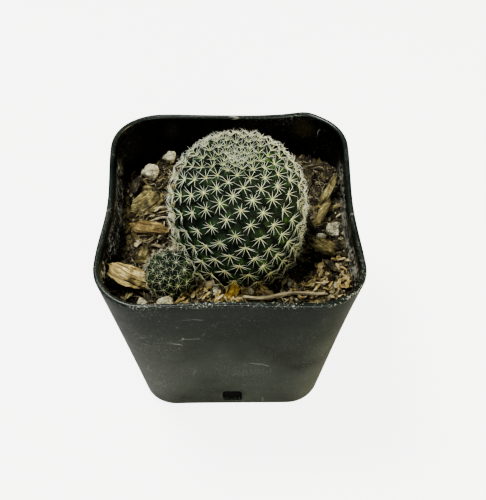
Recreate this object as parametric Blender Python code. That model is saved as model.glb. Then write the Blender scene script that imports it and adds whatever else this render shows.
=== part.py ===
"""A small globular cactus with one offset, in a thin square nursery pot of bark, perlite and soil.

The origin is the middle of the pot's base, on the surface that it stands on. +Z is up, and the
pot's front faces -Y. Every length is in metres.
"""

import math

import bmesh
import bpy
from mathutils import Matrix, Vector, noise

MM = 0.001

# The pot: a tapered square cup of black plastic whose rim bows in between its corners.
POT_HEIGHT = 64.0 * MM
RIM_WIDTH = 64.0 * MM
BASE_WIDTH = 52.4 * MM
RIM_CORNER_RADIUS = 12.3 * MM
BASE_CORNER_RADIUS = 10.0 * MM
RIM_BOW = 1.0 * MM
WALL = 1.0 * MM
LIP_THICKNESS = 1.4 * MM
LIP_HEIGHT = 2.2 * MM
FLOOR_THICKNESS = 1.2 * MM
HEEL_ROUNDING = 1.8 * MM
FOOT_WIDTH = 4.0 * MM
FOOT_HEIGHT = 0.8 * MM

# One drain hole low in the middle of each side, with its sill a little above the floor.
DRAIN_WIDTH = 5.6 * MM
DRAIN_HEIGHT = 7.4 * MM
DRAIN_ABOVE_FLOOR = 1.3 * MM
DRAIN_SILL = FOOT_HEIGHT + FLOOR_THICKNESS + DRAIN_ABOVE_FLOOR
DRAIN_CORNER = 1.4 * MM

# The soil fills the pot to below the rim, a little lower at the back.
SOIL_BELOW_RIM = 11.0 * MM
SOIL_SLOPE = 0.045
SOIL_ROUGHNESS = 0.8 * MM
SOIL_EDGE_RISE = 1.3 * MM

# Pieces that touch are modelled this far apart, and what beds in the soil leaves no soil above it.
CONTACT_GAP = 0.3 * MM
SOCKET_RISE = 8.0 * MM

# The main stem is widest above the rim, and its crown is sunk in.
STEM_X = 2.0 * MM
STEM_Y = -3.2 * MM
STEM_RADIUS = 15.3 * MM
STEM_WIDEST_ABOVE_SOIL = 15.0 * MM
STEM_SHOULDER_RISE = 14.4 * MM
STEM_BURIED = 6.0 * MM
CROWN_DIMPLE_DEPTH = 2.2 * MM
CROWN_DIMPLE_RADIUS = 4.6 * MM
STEM_TUBERCLE = 1.0 * MM
STEM_AREOLE_SPACING = 4.9 * MM
STEM_CROWN_SPACING = 1.7 * MM

# The offset stands at the main stem's foot, at the front left, and leans away from it.
OFFSET_RADIUS = 5.7 * MM
OFFSET_RISE = 5.4 * MM
OFFSET_BURIED = 6.4 * MM
OFFSET_DIRECTION = math.radians(222.0)
OFFSET_ABOVE_SOIL = 4.2 * MM
OFFSET_LEAN = math.radians(16.0)
OFFSET_TUBERCLE = 0.5 * MM
OFFSET_AREOLE_SPACING = 2.3 * MM
OFFSET_CROWN_SPACING = 1.1 * MM
STEM_TO_OFFSET = 1.1 * MM

# The roots: a turnip-like taproot under the stem, with side roots.
TAPROOT_RADIUS = 4.6 * MM
TAPROOT_LENGTH = 27.0 * MM
TAPROOT_TIP_RADIUS = 0.9 * MM
TAPROOT_WANDER = 1.6 * MM
SIDE_ROOTS = 5
SIDE_ROOT_RADIUS = 0.8 * MM
SIDE_ROOT_LENGTH = 13.0 * MM

# Areoles follow each other by the golden angle, and are at their full spacing this far from the
# apex. A tubercle reaches this share of that spacing. A stem is fuller below its widest level.
GOLDEN_ANGLE = math.pi * (3.0 - math.sqrt(5.0))
CROWN_SPREAD = math.radians(75.0)
TUBERCLE_REACH = 0.62
UPPER_FULLNESS = 2.3
LOWER_FULLNESS = 3.0

# Points along a side and round a corner of the pot's outline.
SIDE_STEPS = 6
CORNER_STEPS = 5

SOIL_LEVEL = POT_HEIGHT - SOIL_BELOW_RIM
STEM_FOOT = Vector((STEM_X, STEM_Y, SOIL_LEVEL))


def clear_scene():
    for obj in list(bpy.data.objects):
        bpy.data.objects.remove(obj)


def new_collection(name):
    collection = bpy.data.collections.new(name)
    bpy.context.scene.collection.children.link(collection)
    return collection


def new_material(name, color, roughness):
    material = bpy.data.materials.new(name)
    material.use_nodes = True
    shader = material.node_tree.nodes["Principled BSDF"]
    shader.inputs["Base Color"].default_value = (*color, 1.0)
    shader.inputs["Roughness"].default_value = roughness
    shader.inputs["Metallic"].default_value = 0.0
    return material


def hide_cutter(obj):
    obj.hide_render = True
    obj.display_type = "WIRE"


def mesh_object(name, bm, collection, material=None):
    """The bmesh as a named object, with its faces turned outward."""
    bmesh.ops.recalc_face_normals(bm, faces=bm.faces)
    mesh = bpy.data.meshes.new(name)
    bm.to_mesh(mesh)
    bm.free()
    obj = bpy.data.objects.new(name, mesh)
    collection.objects.link(obj)
    if material:
        mesh.materials.append(material)
    return obj


def smooth(obj, sharp_angle=math.radians(40.0)):
    obj.data.shade_smooth()
    obj.data.set_sharp_from_angle(angle=sharp_angle)


# ---- Outlines and lofts --------------------------------------------------------------------


def bowed_square(half, corner_radius, bow):
    """Points round a square with round corners, whose sides bow in by `bow` at their middles."""
    straight = half - corner_radius
    quarter = []
    for step in range(SIDE_STEPS):
        t = -1.0 + 2.0 * step / SIDE_STEPS
        dip = bow * 0.5 * (1.0 + math.cos(math.pi * t))
        quarter.append(Vector((half - dip, t * straight)))
    for step in range(CORNER_STEPS):
        angle = 0.5 * math.pi * step / CORNER_STEPS
        arc = Vector((math.cos(angle), math.sin(angle))) * corner_radius
        quarter.append(Vector((straight, straight)) + arc)
    points = []
    for turn in range(4):
        rotation = Matrix.Rotation(turn * math.pi / 2, 2)
        points += [rotation @ point for point in quarter]
    return points


def pot_outline(height, inset):
    """The pot's outer outline at a height, moved in by `inset`."""
    share = height / POT_HEIGHT
    half = 0.5 * (BASE_WIDTH + (RIM_WIDTH - BASE_WIDTH) * share) - inset
    radius = BASE_CORNER_RADIUS + (RIM_CORNER_RADIUS - BASE_CORNER_RADIUS) * share - inset
    return bowed_square(half, max(radius, 0.5 * MM), RIM_BOW * share)


def at_height(outline, height):
    return [Vector((point.x, point.y, height)) for point in outline]


def loft(sections):
    """A closed surface through sections of equal point count, with its first and last capped."""
    bm = bmesh.new()
    rings = [[bm.verts.new(point) for point in section] for section in sections]
    count = len(rings[0])
    for lower, upper in zip(rings[:-1], rings[1:]):
        for i in range(count):
            j = (i + 1) % count
            bm.faces.new((lower[i], lower[j], upper[j], upper[i]))
    bm.faces.new(rings[0])
    bm.faces.new(rings[-1])
    return bm


# ---- Cutting and bedding -------------------------------------------------------------------


def grown_copy(obj, gap, cutters):
    """A cutter in the shape of obj, larger by `gap` all over."""
    graph = bpy.context.evaluated_depsgraph_get()
    mesh = bpy.data.meshes.new_from_object(obj.evaluated_get(graph))
    mesh.transform(obj.matrix_world)
    bm = bmesh.new()
    bm.from_mesh(mesh)
    bpy.data.meshes.remove(mesh)
    bmesh.ops.recalc_face_normals(bm, faces=bm.faces)
    bm.normal_update()
    for vert, move in [(v, v.normal * gap * v.calc_shell_factor()) for v in bm.verts]:
        vert.co += move
    cutter = mesh_object(obj.name + "_grown", bm, cutters)
    hide_cutter(cutter)
    return cutter


def hull_cutter(obj, name, rise, cutters):
    """A convex cutter round an object and round its copy raised by `rise`."""
    bm = bmesh.new()
    for lift in {0.0, rise}:
        for vert in obj.data.vertices:
            bm.verts.new(vert.co + Vector((0.0, 0.0, lift)))
    hull = bmesh.ops.convex_hull(bm, input=bm.verts)
    inner = set(hull["geom_interior"] + hull["geom_unused"])
    spare = [item for item in inner if isinstance(item, bmesh.types.BMVert)]
    bmesh.ops.delete(bm, geom=spare, context="VERTS")
    cutter = mesh_object(name, bm, cutters)
    hide_cutter(cutter)
    return cutter


def world_box(obj):
    corners = [obj.matrix_world @ Vector(corner) for corner in obj.bound_box]
    low = Vector([min(c[axis] for c in corners) for axis in range(3)])
    high = Vector([max(c[axis] for c in corners) for axis in range(3)])
    return low, high


def boxes_meet(first, second):
    low_a, high_a = world_box(first)
    low_b, high_b = world_box(second)
    return all(low_a[k] < high_b[k] and low_b[k] < high_a[k] for k in range(3))


def add_boolean(target, cutter, operation="DIFFERENCE"):
    """EXACT turns some of the small bark pieces inside out, and every mesh here is closed."""
    modifier = target.modifiers.new(cutter.name, "BOOLEAN")
    modifier.operation = operation
    modifier.object = cutter
    modifier.solver = "MANIFOLD"


def keep_clear(target, room):
    """Cuts the target where it would come into the room that a neighbour needs."""
    if boxes_meet(target, room):
        add_boolean(target, room)


# ---- The pot -------------------------------------------------------------------------------


def make_pot(parts, cutters, material):
    floor_top = FOOT_HEIGHT + FLOOR_THICKNESS
    foot_inset = HEEL_ROUNDING + FOOT_WIDTH
    heel_inset = HEEL_ROUNDING * (1.0 - math.cos(math.pi / 4))
    lip_top = POT_HEIGHT - 0.3 * LIP_THICKNESS
    sections = [
        at_height(pot_outline(0.0, foot_inset + FOOT_HEIGHT), FOOT_HEIGHT),
        at_height(pot_outline(0.0, foot_inset), 0.0),
        at_height(pot_outline(0.0, HEEL_ROUNDING), 0.0),
        at_height(pot_outline(0.0, heel_inset), heel_inset),
        at_height(pot_outline(HEEL_ROUNDING, 0.0), HEEL_ROUNDING),
        at_height(pot_outline(0.5 * POT_HEIGHT, 0.0), 0.5 * POT_HEIGHT),
        at_height(pot_outline(lip_top, 0.0), lip_top),
        at_height(pot_outline(POT_HEIGHT, 0.3 * LIP_THICKNESS), POT_HEIGHT),
        at_height(pot_outline(POT_HEIGHT, 0.7 * LIP_THICKNESS), POT_HEIGHT),
        at_height(pot_outline(lip_top, LIP_THICKNESS), lip_top),
        at_height(pot_outline(POT_HEIGHT - LIP_HEIGHT, LIP_THICKNESS), POT_HEIGHT - LIP_HEIGHT),
        at_height(
            pot_outline(POT_HEIGHT - LIP_HEIGHT - LIP_THICKNESS, WALL),
            POT_HEIGHT - LIP_HEIGHT - LIP_THICKNESS,
        ),
        at_height(pot_outline(0.5 * POT_HEIGHT, WALL), 0.5 * POT_HEIGHT),
        at_height(pot_outline(floor_top + HEEL_ROUNDING, WALL), floor_top + HEEL_ROUNDING),
        at_height(pot_outline(floor_top, WALL + HEEL_ROUNDING), floor_top),
    ]
    pot = mesh_object("pot", loft(sections), parts, material)
    smooth(pot)
    for quarter, side in enumerate(("front", "right", "back", "left")):
        add_boolean(pot, drain_cutter(side, quarter * math.pi / 2, cutters))


def drain_cutter(side, turn, cutters):
    """A block with rounded edges that cuts one drain hole through the wall."""
    bm = bmesh.new()
    bmesh.ops.create_cube(bm, size=1.0)
    reach = 4.0 * WALL
    size = Vector((DRAIN_WIDTH, reach, DRAIN_HEIGHT))
    bmesh.ops.scale(bm, vec=size, verts=bm.verts)
    through = [e for e in bm.edges if abs(e.verts[0].co.y - e.verts[1].co.y) > 0.5 * reach]
    bmesh.ops.bevel(bm, geom=through, offset=DRAIN_CORNER, segments=3, profile=0.5, affect="EDGES")
    middle = DRAIN_SILL + 0.5 * DRAIN_HEIGHT
    wall_y = -0.5 * (BASE_WIDTH + (RIM_WIDTH - BASE_WIDTH) * middle / POT_HEIGHT)
    bmesh.ops.translate(bm, vec=Vector((0.0, wall_y + 0.5 * WALL, middle)), verts=bm.verts)
    bmesh.ops.rotate(bm, matrix=Matrix.Rotation(turn, 3, "Z"), verts=bm.verts)
    cutter = mesh_object("drain_cut_" + side, bm, cutters)
    hide_cutter(cutter)
    return cutter


# ---- The soil ------------------------------------------------------------------------------


def soil_height(x, y):
    """The height of the soil's surface: lower at the back, raised at the walls, and uneven."""
    half = 0.5 * RIM_WIDTH
    edge = max(abs(x), abs(y)) / half
    rough = noise.noise(Vector((x, y, 0.0)) * 160.0 + Vector((3.1, 7.7, 0.0)))
    slope = -SOIL_SLOPE * y
    return SOIL_LEVEL + slope + SOIL_EDGE_RISE * edge**4 + SOIL_ROUGHNESS * rough


def make_soil(parts, material):
    floor_top = FOOT_HEIGHT + FLOOR_THICKNESS
    inset = WALL + CONTACT_GAP
    bottom = floor_top + CONTACT_GAP
    shoulder = bottom + HEEL_ROUNDING
    sections = [
        at_height(pot_outline(bottom, inset + HEEL_ROUNDING), bottom),
        at_height(pot_outline(shoulder, inset), shoulder),
        at_height(pot_outline(0.5 * SOIL_LEVEL, inset), 0.5 * SOIL_LEVEL),
    ]
    edge = pot_outline(SOIL_LEVEL, inset)
    for share in (1.0, 0.86, 0.72, 0.56, 0.38, 0.2):
        ring = [point * share for point in edge]
        sections.append([Vector((p.x, p.y, soil_height(p.x, p.y))) for p in ring])
    soil = mesh_object("soil", loft(sections), parts, material)
    smooth(soil)
    return soil


# ---- The stems -----------------------------------------------------------------------------


def stem_point(theta, phi, radius, rise, sink, dimple_depth, dimple_radius):
    """A point on a stem's smooth skin, about the centre of its widest level.

    theta runs from 0 at the crown to pi at the foot, which is fuller than the crown.
    """
    power = 2.0 / (UPPER_FULLNESS if theta < math.pi / 2 else LOWER_FULLNESS)
    side = radius * abs(math.sin(theta)) ** power
    level = abs(math.cos(theta)) ** power
    height = rise * level if theta < math.pi / 2 else -sink * level
    if theta < math.pi / 2:
        height -= dimple_depth * math.exp(-((side / dimple_radius) ** 2))
    return Vector((side * math.cos(phi), side * math.sin(phi), height))


def areoles(skin, spacing, crown_spacing):
    """Areole places in golden-angle order from the crown down, evenly spread over the skin.

    Their spacing opens from `crown_spacing` at the apex to `spacing` over the shoulder.
    """
    bands = 400
    places = []
    unused_area = 0.0
    for band in range(bands):
        top, middle, bottom = (math.pi * (band + part) / bands for part in (0.0, 0.5, 1.0))
        slant = (skin(bottom, 0.0) - skin(top, 0.0)).length
        unused_area += 2.0 * math.pi * skin(middle, 0.0).x * slant
        opened = min(1.0, 0.15 + middle / CROWN_SPREAD)
        gap = crown_spacing + (spacing - crown_spacing) * opened
        cell = gap * gap * math.sqrt(3.0) / 2.0
        while unused_area > cell:
            unused_area -= cell
            places.append(skin(middle, GOLDEN_ANGLE * (len(places) + 1)))
    return places


def draw_over_skin(skin, rings, lift):
    """A sphere drawn over a stem's skin, each point raised outward by lift(point)."""
    bm = bmesh.new()
    bmesh.ops.create_uvsphere(bm, u_segments=round(1.6 * rings), v_segments=rings, radius=1.0)
    for vert in bm.verts:
        theta = math.acos(max(-1.0, min(1.0, vert.co.z)))
        point = skin(theta, math.atan2(vert.co.y, vert.co.x))
        outward = Vector((point.x, point.y, 0.6 * point.z)).normalized()
        vert.co = point + outward * lift(point)
    return bm


def make_stem(name, skin, spacing, crown_spacing, bump, rings, collections, material):
    """A stem with a tubercle raised under each areole, and the cutter for the room it needs."""
    parts, cutters = collections
    places = areoles(skin, spacing, crown_spacing)

    def tubercles(point):
        nearest = min((point - place).length for place in places)
        return bump * (max(0.0, 1.0 - (nearest / (TUBERCLE_REACH * spacing)) ** 2) - 0.5)

    stem = mesh_object(name, draw_over_skin(skin, rings, tubercles), parts, material)
    smooth(stem, math.radians(80.0))
    clear_of_bumps = 0.5 * bump + CONTACT_GAP
    room = draw_over_skin(skin, rings, lambda point: clear_of_bumps)
    cutter = mesh_object(name + "_room", room, cutters)
    hide_cutter(cutter)
    cutter.parent = stem
    return stem, cutter


def main_skin(theta, phi):
    sink = STEM_WIDEST_ABOVE_SOIL + STEM_BURIED
    return stem_point(
        theta,
        phi,
        STEM_RADIUS,
        STEM_SHOULDER_RISE,
        sink,
        CROWN_DIMPLE_DEPTH,
        CROWN_DIMPLE_RADIUS,
    )


def offset_skin(theta, phi):
    return stem_point(theta, phi, OFFSET_RADIUS, OFFSET_RISE, OFFSET_BURIED, 0.0, OFFSET_RADIUS)


def make_stems(collections, material):
    main, main_room = make_stem(
        "main_stem",
        main_skin,
        STEM_AREOLE_SPACING,
        STEM_CROWN_SPACING,
        STEM_TUBERCLE,
        34,
        collections,
        material,
    )
    main.location = STEM_FOOT + Vector((0.0, 0.0, STEM_WIDEST_ABOVE_SOIL))

    offset, offset_room = make_stem(
        "offset_stem",
        offset_skin,
        OFFSET_AREOLE_SPACING,
        OFFSET_CROWN_SPACING,
        OFFSET_TUBERCLE,
        16,
        collections,
        material,
    )
    reach = STEM_RADIUS + OFFSET_RADIUS + STEM_TO_OFFSET
    way_out = Vector((math.cos(OFFSET_DIRECTION), math.sin(OFFSET_DIRECTION), 0.0))
    lean_axis = Vector((0.0, 0.0, 1.0)).cross(way_out)
    offset.location = STEM_FOOT + way_out * reach + Vector((0.0, 0.0, OFFSET_ABOVE_SOIL))
    offset.rotation_euler = Matrix.Rotation(OFFSET_LEAN, 3, lean_axis).to_euler()
    return main_room, offset_room


# ---- The roots -----------------------------------------------------------------------------


def curve_object(name, points, radii, collection):
    """A round rod through the points, with a radius at each one."""
    curve = bpy.data.curves.new(name, "CURVE")
    curve.dimensions = "3D"
    curve.bevel_depth = 1.0
    curve.bevel_resolution = 1
    curve.use_fill_caps = True
    spline = curve.splines.new("POLY")
    spline.points.add(len(points) - 1)
    for slot, point, radius in zip(spline.points, points, radii):
        slot.co = (*point, 1.0)
        slot.radius = radius
    obj = bpy.data.objects.new(name, curve)
    collection.objects.link(obj)
    return obj


def curve_to_mesh(curve, collection, material):
    """The curve as a mesh object of the same name, its caps welded on."""
    name = curve.name
    bpy.context.view_layer.update()
    graph = bpy.context.evaluated_depsgraph_get()
    mesh = bpy.data.meshes.new_from_object(curve.evaluated_get(graph))
    mesh.transform(curve.matrix_world)
    bpy.data.objects.remove(curve)
    bm = bmesh.new()
    bm.from_mesh(mesh)
    bpy.data.meshes.remove(mesh)
    bmesh.ops.remove_doubles(bm, verts=bm.verts, dist=0.01 * MM)
    obj = mesh_object(name, bm, collection, material)
    smooth(obj)
    return obj


def root_paths():
    """Points and radii of the taproot, which hangs from the stem's foot, and its side roots."""
    top = SOIL_LEVEL - STEM_BURIED + 0.5 * TAPROOT_RADIUS
    foot = Vector((STEM_X, STEM_Y, top))
    points = []
    radii = []
    for step in range(7):
        share = step / 6
        wander = TAPROOT_WANDER * math.sin(2.4 * share)
        points.append(foot + Vector((wander, 0.5 * wander, -TAPROOT_LENGTH * share)))
        full = TAPROOT_RADIUS - TAPROOT_TIP_RADIUS
        radii.append(TAPROOT_TIP_RADIUS + full * math.cos(0.5 * math.pi * share) ** 1.4)
    paths = [(points, radii)]
    for index in range(SIDE_ROOTS):
        turn = index * GOLDEN_ANGLE
        way = Vector((math.cos(turn), math.sin(turn), 0.0))
        side = Vector((-way.y, way.x, 0.0))
        start = points[0].lerp(points[-1], 0.16 + 0.6 * index / SIDE_ROOTS)
        run = []
        thin = []
        for step in range(6):
            t = step / 5
            bend = TAPROOT_WANDER * t * math.sin(3.0 * t + index)
            drop = Vector((0.0, 0.0, -0.5 * SIDE_ROOT_LENGTH * t * t))
            run.append(start + way * SIDE_ROOT_LENGTH * t + side * bend + drop)
            thin.append(SIDE_ROOT_RADIUS * (1.0 - 0.6 * t))
        paths.append((run, thin))
    return paths


def root_rods(names, grow, collection, material=None):
    """A rod along each root, fatter and longer by `grow`."""
    rods = []
    for name, (points, radii) in zip(names, root_paths()):
        first = points[0] + (points[0] - points[1]).normalized() * grow
        last = points[-1] + (points[-1] - points[-2]).normalized() * grow
        route = [first] + points[1:-1] + [last]
        curve = curve_object(name, route, [radius + grow for radius in radii], collection)
        rods.append(curve_to_mesh(curve, collection, material))
    return rods


def make_roots(parts, cutters, material):
    """The taproot with its side roots joined to it, and cutters for the room they need."""
    names = ["roots"] + [f"side_root_{index}" for index in range(SIDE_ROOTS)]
    rods = root_rods(names, 0.0, parts, material)
    for branch in rods[1:]:
        parts.objects.unlink(branch)
        cutters.objects.link(branch)
        hide_cutter(branch)
        add_boolean(rods[0], branch, "UNION")
    rooms = root_rods([name + "_room" for name in names], CONTACT_GAP, cutters)
    for room in rooms:
        hide_cutter(room)
    return rods[0], rooms


# ---- Bark, perlite and twigs on the soil ---------------------------------------------------


def place_on_soil(obj, spot, lift, turn, tilt, roll):
    """Sets a piece on the soil at a spot, lifted by `lift`, tipped and then turned about Z."""
    height = soil_height(spot.x, spot.y) + lift
    tip = Matrix.Rotation(tilt, 4, "Y") @ Matrix.Rotation(roll, 4, "X")
    place = Matrix.Translation((spot.x, spot.y, height))
    obj.matrix_world = place @ Matrix.Rotation(turn, 4, "Z") @ tip


def bark_chip(name, length, width, thickness, seed, parts, material):
    """A splinter of bark: a block along X, tapered and broken at both ends."""
    bm = bmesh.new()
    bmesh.ops.create_cube(bm, size=1.0)
    along = [e for e in bm.edges if abs(e.verts[0].co.x - e.verts[1].co.x) > 0.5]
    bmesh.ops.subdivide_edges(bm, edges=along, cuts=3, use_grid_fill=True)
    across = [e for e in bm.edges if abs(e.verts[0].co.y - e.verts[1].co.y) > 0.5]
    bmesh.ops.subdivide_edges(bm, edges=across, cuts=1, use_grid_fill=True)
    noise.seed_set(seed)
    for vert in bm.verts:
        x, y, z = vert.co
        taper = 1.0 - 0.55 * abs(2.0 * x) ** 2.5
        jog = noise.noise_vector(vert.co * 2.3)
        arch = 0.35 * thickness * (1.0 - (2.0 * x) ** 2)
        vert.co = Vector(
            (
                length * (x + 0.10 * jog.x),
                width * (y * taper + 0.16 * jog.y),
                thickness * (z * (0.5 + 0.5 * taper) + 0.20 * jog.z) + arch,
            )
        )
    chip = mesh_object(name, bm, parts, material)
    smooth(chip, math.radians(30.0))
    return chip


def perlite_grain(name, size, seed, parts, material):
    """A crumb of perlite: a small knobbly ball, a little flattened."""
    bm = bmesh.new()
    bmesh.ops.create_icosphere(bm, subdivisions=2, radius=0.5)
    for vert in bm.verts:
        swell = 1.0 + 0.30 * noise.noise(vert.co * 2.6 + Vector((seed * 5.3, 0.0, seed * 2.1)))
        vert.co = Vector((vert.co.x, 0.86 * vert.co.y, 0.74 * vert.co.z)) * swell * size
    grain = mesh_object(name, bm, parts, material)
    smooth(grain, math.radians(50.0))
    return grain


# Each bark piece: its bearing from the stem (degrees), how far it lies from the stem's side (0)
# towards the pot's wall (1), its lift above the soil, length, width and thickness (mm), and its
# turn about Z, tilt and roll (degrees).
BARK_PIECES = (
    ("bark_slab_front_left", 208, 0.75, 2.1, 12.0, 5.4, 1.8, -14, 15, 22),
    ("bark_chip_beside_offset", 198, 0.55, 1.4, 5.0, 3.2, 1.2, 62, -38, 20),
    ("bark_strip_left", 176, 0.45, 0.9, 10.5, 3.6, 1.6, -6, 2, 14),
    ("bark_slab_back_left", 157, 0.60, 1.1, 9.0, 6.2, 2.0, 38, -6, 18),
    ("bark_chip_back_left_wall", 148, 0.78, 1.0, 6.6, 3.0, 1.4, 84, 8, -24),
    ("bark_strip_back", 132, 0.32, 0.8, 8.0, 3.0, 1.4, 24, 5, 10),
    ("bark_chip_back", 77, 0.62, 0.8, 7.0, 3.6, 1.5, -12, 4, 12),
    ("bark_slab_back_right", 45, 0.47, 1.2, 8.4, 4.6, 1.8, 62, -8, 14),
    ("bark_splinter_right_upper", 27, 0.74, 2.6, 11.5, 2.2, 1.3, 58, -30, 16),
    ("bark_splinter_right_lower", 14, 0.58, 1.7, 9.0, 2.3, 1.3, 54, -24, -12),
    ("bark_chip_right", 347, 0.58, 1.0, 6.8, 3.6, 1.5, -20, 8, 16),
    ("bark_sliver_right", 334, 0.68, 0.9, 5.6, 1.8, 1.0, -52, -10, 8),
    ("bark_chip_front", 265, 0.37, 1.5, 6.0, 2.6, 1.1, 58, -30, 34),
    ("bark_chip_front_left", 246, 0.62, 0.8, 5.2, 2.0, 1.0, 14, -6, 10),
    ("bark_chip_front_right", 309, 0.80, 0.8, 5.4, 2.2, 1.0, 6, 6, 12),
)

# Each perlite grain: its bearing (degrees), how far out it lies, its lift and its size (mm).
PERLITE_GRAINS = (
    ("perlite_back_left", 137, 0.70, 1.0, 5.2),
    ("perlite_back", 124, 0.78, 0.9, 4.2),
    ("perlite_right", 3, 0.80, 0.9, 4.4),
    ("perlite_right_small", 356, 0.50, 0.6, 2.8),
    ("perlite_front_left", 233, 0.74, 0.8, 4.6),
    ("perlite_front_left_small", 224, 0.80, 0.6, 3.2),
    ("perlite_front", 253, 0.31, 0.7, 2.8),
    ("perlite_front_middle", 279, 0.32, 0.5, 2.4),
    ("perlite_front_right", 309, 0.31, 0.5, 2.4),
    ("perlite_right_wall", 325, 0.82, 0.5, 2.6),
)

# The thin sticks: bearing (degrees), how far out, lift, length, radius (mm) and turn (degrees).
STICKS = (
    ("twig_front", 299, 0.54, 1.5, 20.5, 0.75, 3),
    ("straw_left", 167, 0.38, 1.1, 10.0, 0.45, 14),
)


def inside_soil(x, y):
    """Whether a point lies on the soil, within the wall."""
    share = SOIL_LEVEL / POT_HEIGHT
    inset = WALL + CONTACT_GAP
    half = 0.5 * (BASE_WIDTH + (RIM_WIDTH - BASE_WIDTH) * share) - inset
    radius = BASE_CORNER_RADIUS + (RIM_CORNER_RADIUS - BASE_CORNER_RADIUS) * share - inset
    corner = half - radius
    return math.hypot(max(abs(x) - corner, 0.0), max(abs(y) - corner, 0.0)) < radius


def place_beside_stem(bearing, share):
    """X and Y of a spot `share` of the way from the stem's side to the pot's wall."""
    way = Vector((math.cos(bearing), math.sin(bearing)))
    centre = Vector((STEM_X, STEM_Y))
    reach = STEM_RADIUS
    while inside_soil(*(centre + way * reach)):
        reach += 0.05 * MM
    return centre + way * (STEM_RADIUS + (reach - STEM_RADIUS) * share)


def make_stick(name, middle, lift, length, radius, turn, parts, material):
    """A thin crooked stick that follows the soil."""
    way = Vector((math.cos(turn), math.sin(turn), 0.0))
    side = Vector((-way.y, way.x, 0.0))
    level = soil_height(middle.x, middle.y) + lift
    points = []
    radii = []
    steps = 9
    for step in range(steps + 1):
        t = -0.5 + step / steps
        crook = side * math.sin(9.0 * t + 1.0) + Vector((0.0, 0.0, math.sin(7.0 * t)))
        along = Vector((middle.x, middle.y, level)) + way * length * t
        points.append(along + crook * 0.025 * length)
        radii.append(radius * (1.0 - 0.9 * t * t - 0.35 * t))
    return curve_to_mesh(curve_object(name, points, radii, parts), parts, material)


def make_litter(parts, bark, perlite, wood):
    pieces = []
    for seed, row in enumerate(BARK_PIECES, start=1):
        name, bearing, share, lift, length, width, thickness, turn, tilt, roll = row
        spot = place_beside_stem(math.radians(bearing), share)
        chip = bark_chip(name, length * MM, width * MM, thickness * MM, seed, parts, bark)
        turn, tilt, roll = (math.radians(angle) for angle in (turn, tilt, roll))
        place_on_soil(chip, spot, lift * MM, turn, tilt, roll)
        pieces.append(chip)
    for seed, (name, bearing, share, lift, size) in enumerate(PERLITE_GRAINS, start=1):
        spot = place_beside_stem(math.radians(bearing), share)
        grain = perlite_grain(name, size * MM, seed, parts, perlite)
        place_on_soil(grain, spot, lift * MM, seed * GOLDEN_ANGLE, 0.0, 0.0)
        pieces.append(grain)
    for name, bearing, share, lift, length, radius, turn in STICKS:
        spot = place_beside_stem(math.radians(bearing), share)
        turn = math.radians(turn)
        stick = make_stick(name, spot, lift * MM, length * MM, radius * MM, turn, parts, wood)
        pieces.append(stick)
    return pieces


# ---- Putting it together -------------------------------------------------------------------


def fit_together(soil, stem_rooms, roots, root_rooms, litter, cutters):
    """Beds everything in the soil, and keeps each piece clear of those set down before it."""
    bpy.context.view_layer.update()
    hollow = pot_hollow(cutters)
    rooms = list(stem_rooms)
    for room in stem_rooms:
        keep_clear(roots, room)
    for room in rooms + root_rooms:
        keep_clear(soil, room)
    for piece in litter:
        add_boolean(piece, hollow, "INTERSECT")
        for room in rooms:
            keep_clear(piece, room)
        bpy.context.view_layer.update()
        grown = grown_copy(piece, CONTACT_GAP, cutters)
        rooms.append(hull_cutter(grown, piece.name + "_room", 0.0, cutters))
        keep_clear(soil, hull_cutter(grown, piece.name + "_socket", SOCKET_RISE, cutters))
        bpy.data.objects.remove(grown)


def pot_hollow(cutters):
    """The space inside the pot above its floor, less the contact gap, up past the stem's top."""
    inset = LIP_THICKNESS + CONTACT_GAP
    top = 2.0 * POT_HEIGHT
    above_floor = FOOT_HEIGHT + FLOOR_THICKNESS + CONTACT_GAP
    sections = [
        at_height(pot_outline(above_floor, inset), above_floor),
        at_height(pot_outline(POT_HEIGHT, inset), POT_HEIGHT),
        at_height(pot_outline(POT_HEIGHT, inset), top),
    ]
    hollow = mesh_object("pot_hollow", loft(sections), cutters)
    hide_cutter(hollow)
    return hollow


def main():
    clear_scene()
    parts = new_collection("potted_cactus")
    cutters = new_collection("cutters")
    plastic = new_material("pot_plastic", (0.012, 0.014, 0.013), 0.42)
    substrate = new_material("substrate", (0.045, 0.032, 0.02), 0.95)
    skin = new_material("cactus_skin", (0.035, 0.085, 0.035), 0.5)
    bark = new_material("bark", (0.32, 0.19, 0.07), 0.85)
    perlite = new_material("perlite", (0.72, 0.70, 0.62), 0.9)
    wood = new_material("twig_wood", (0.42, 0.33, 0.18), 0.8)
    root_flesh = new_material("root_flesh", (0.45, 0.33, 0.2), 0.8)

    make_pot(parts, cutters, plastic)
    soil = make_soil(parts, substrate)
    stem_rooms = make_stems((parts, cutters), skin)
    roots, root_rooms = make_roots(parts, cutters, root_flesh)
    litter = make_litter(parts, bark, perlite, wood)
    fit_together(soil, stem_rooms, roots, root_rooms, litter, cutters)


main()
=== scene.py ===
# %% [markdown]
# # A small globular cactus in a square nursery pot
#
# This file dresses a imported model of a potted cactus. The frame below holds the plain solids: the pot,
# the soil, two stems and the larger bits that lie on the soil. Each of them is replaced here by a finer
# mesh in the same place, and what a solid can't hold is added: spines, wool, crumbs and fibres.
#
# The steps are the camera and the light, the shader groups that several finishes share, the pot, the
# soil, the two stems with their spines, the bits of bark and perlite, and last the loose litter.

# %% Load the frame
import math

import bmesh
import bpy
import numpy as np
from mathutils import Matrix, Vector, kdtree, noise


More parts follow.
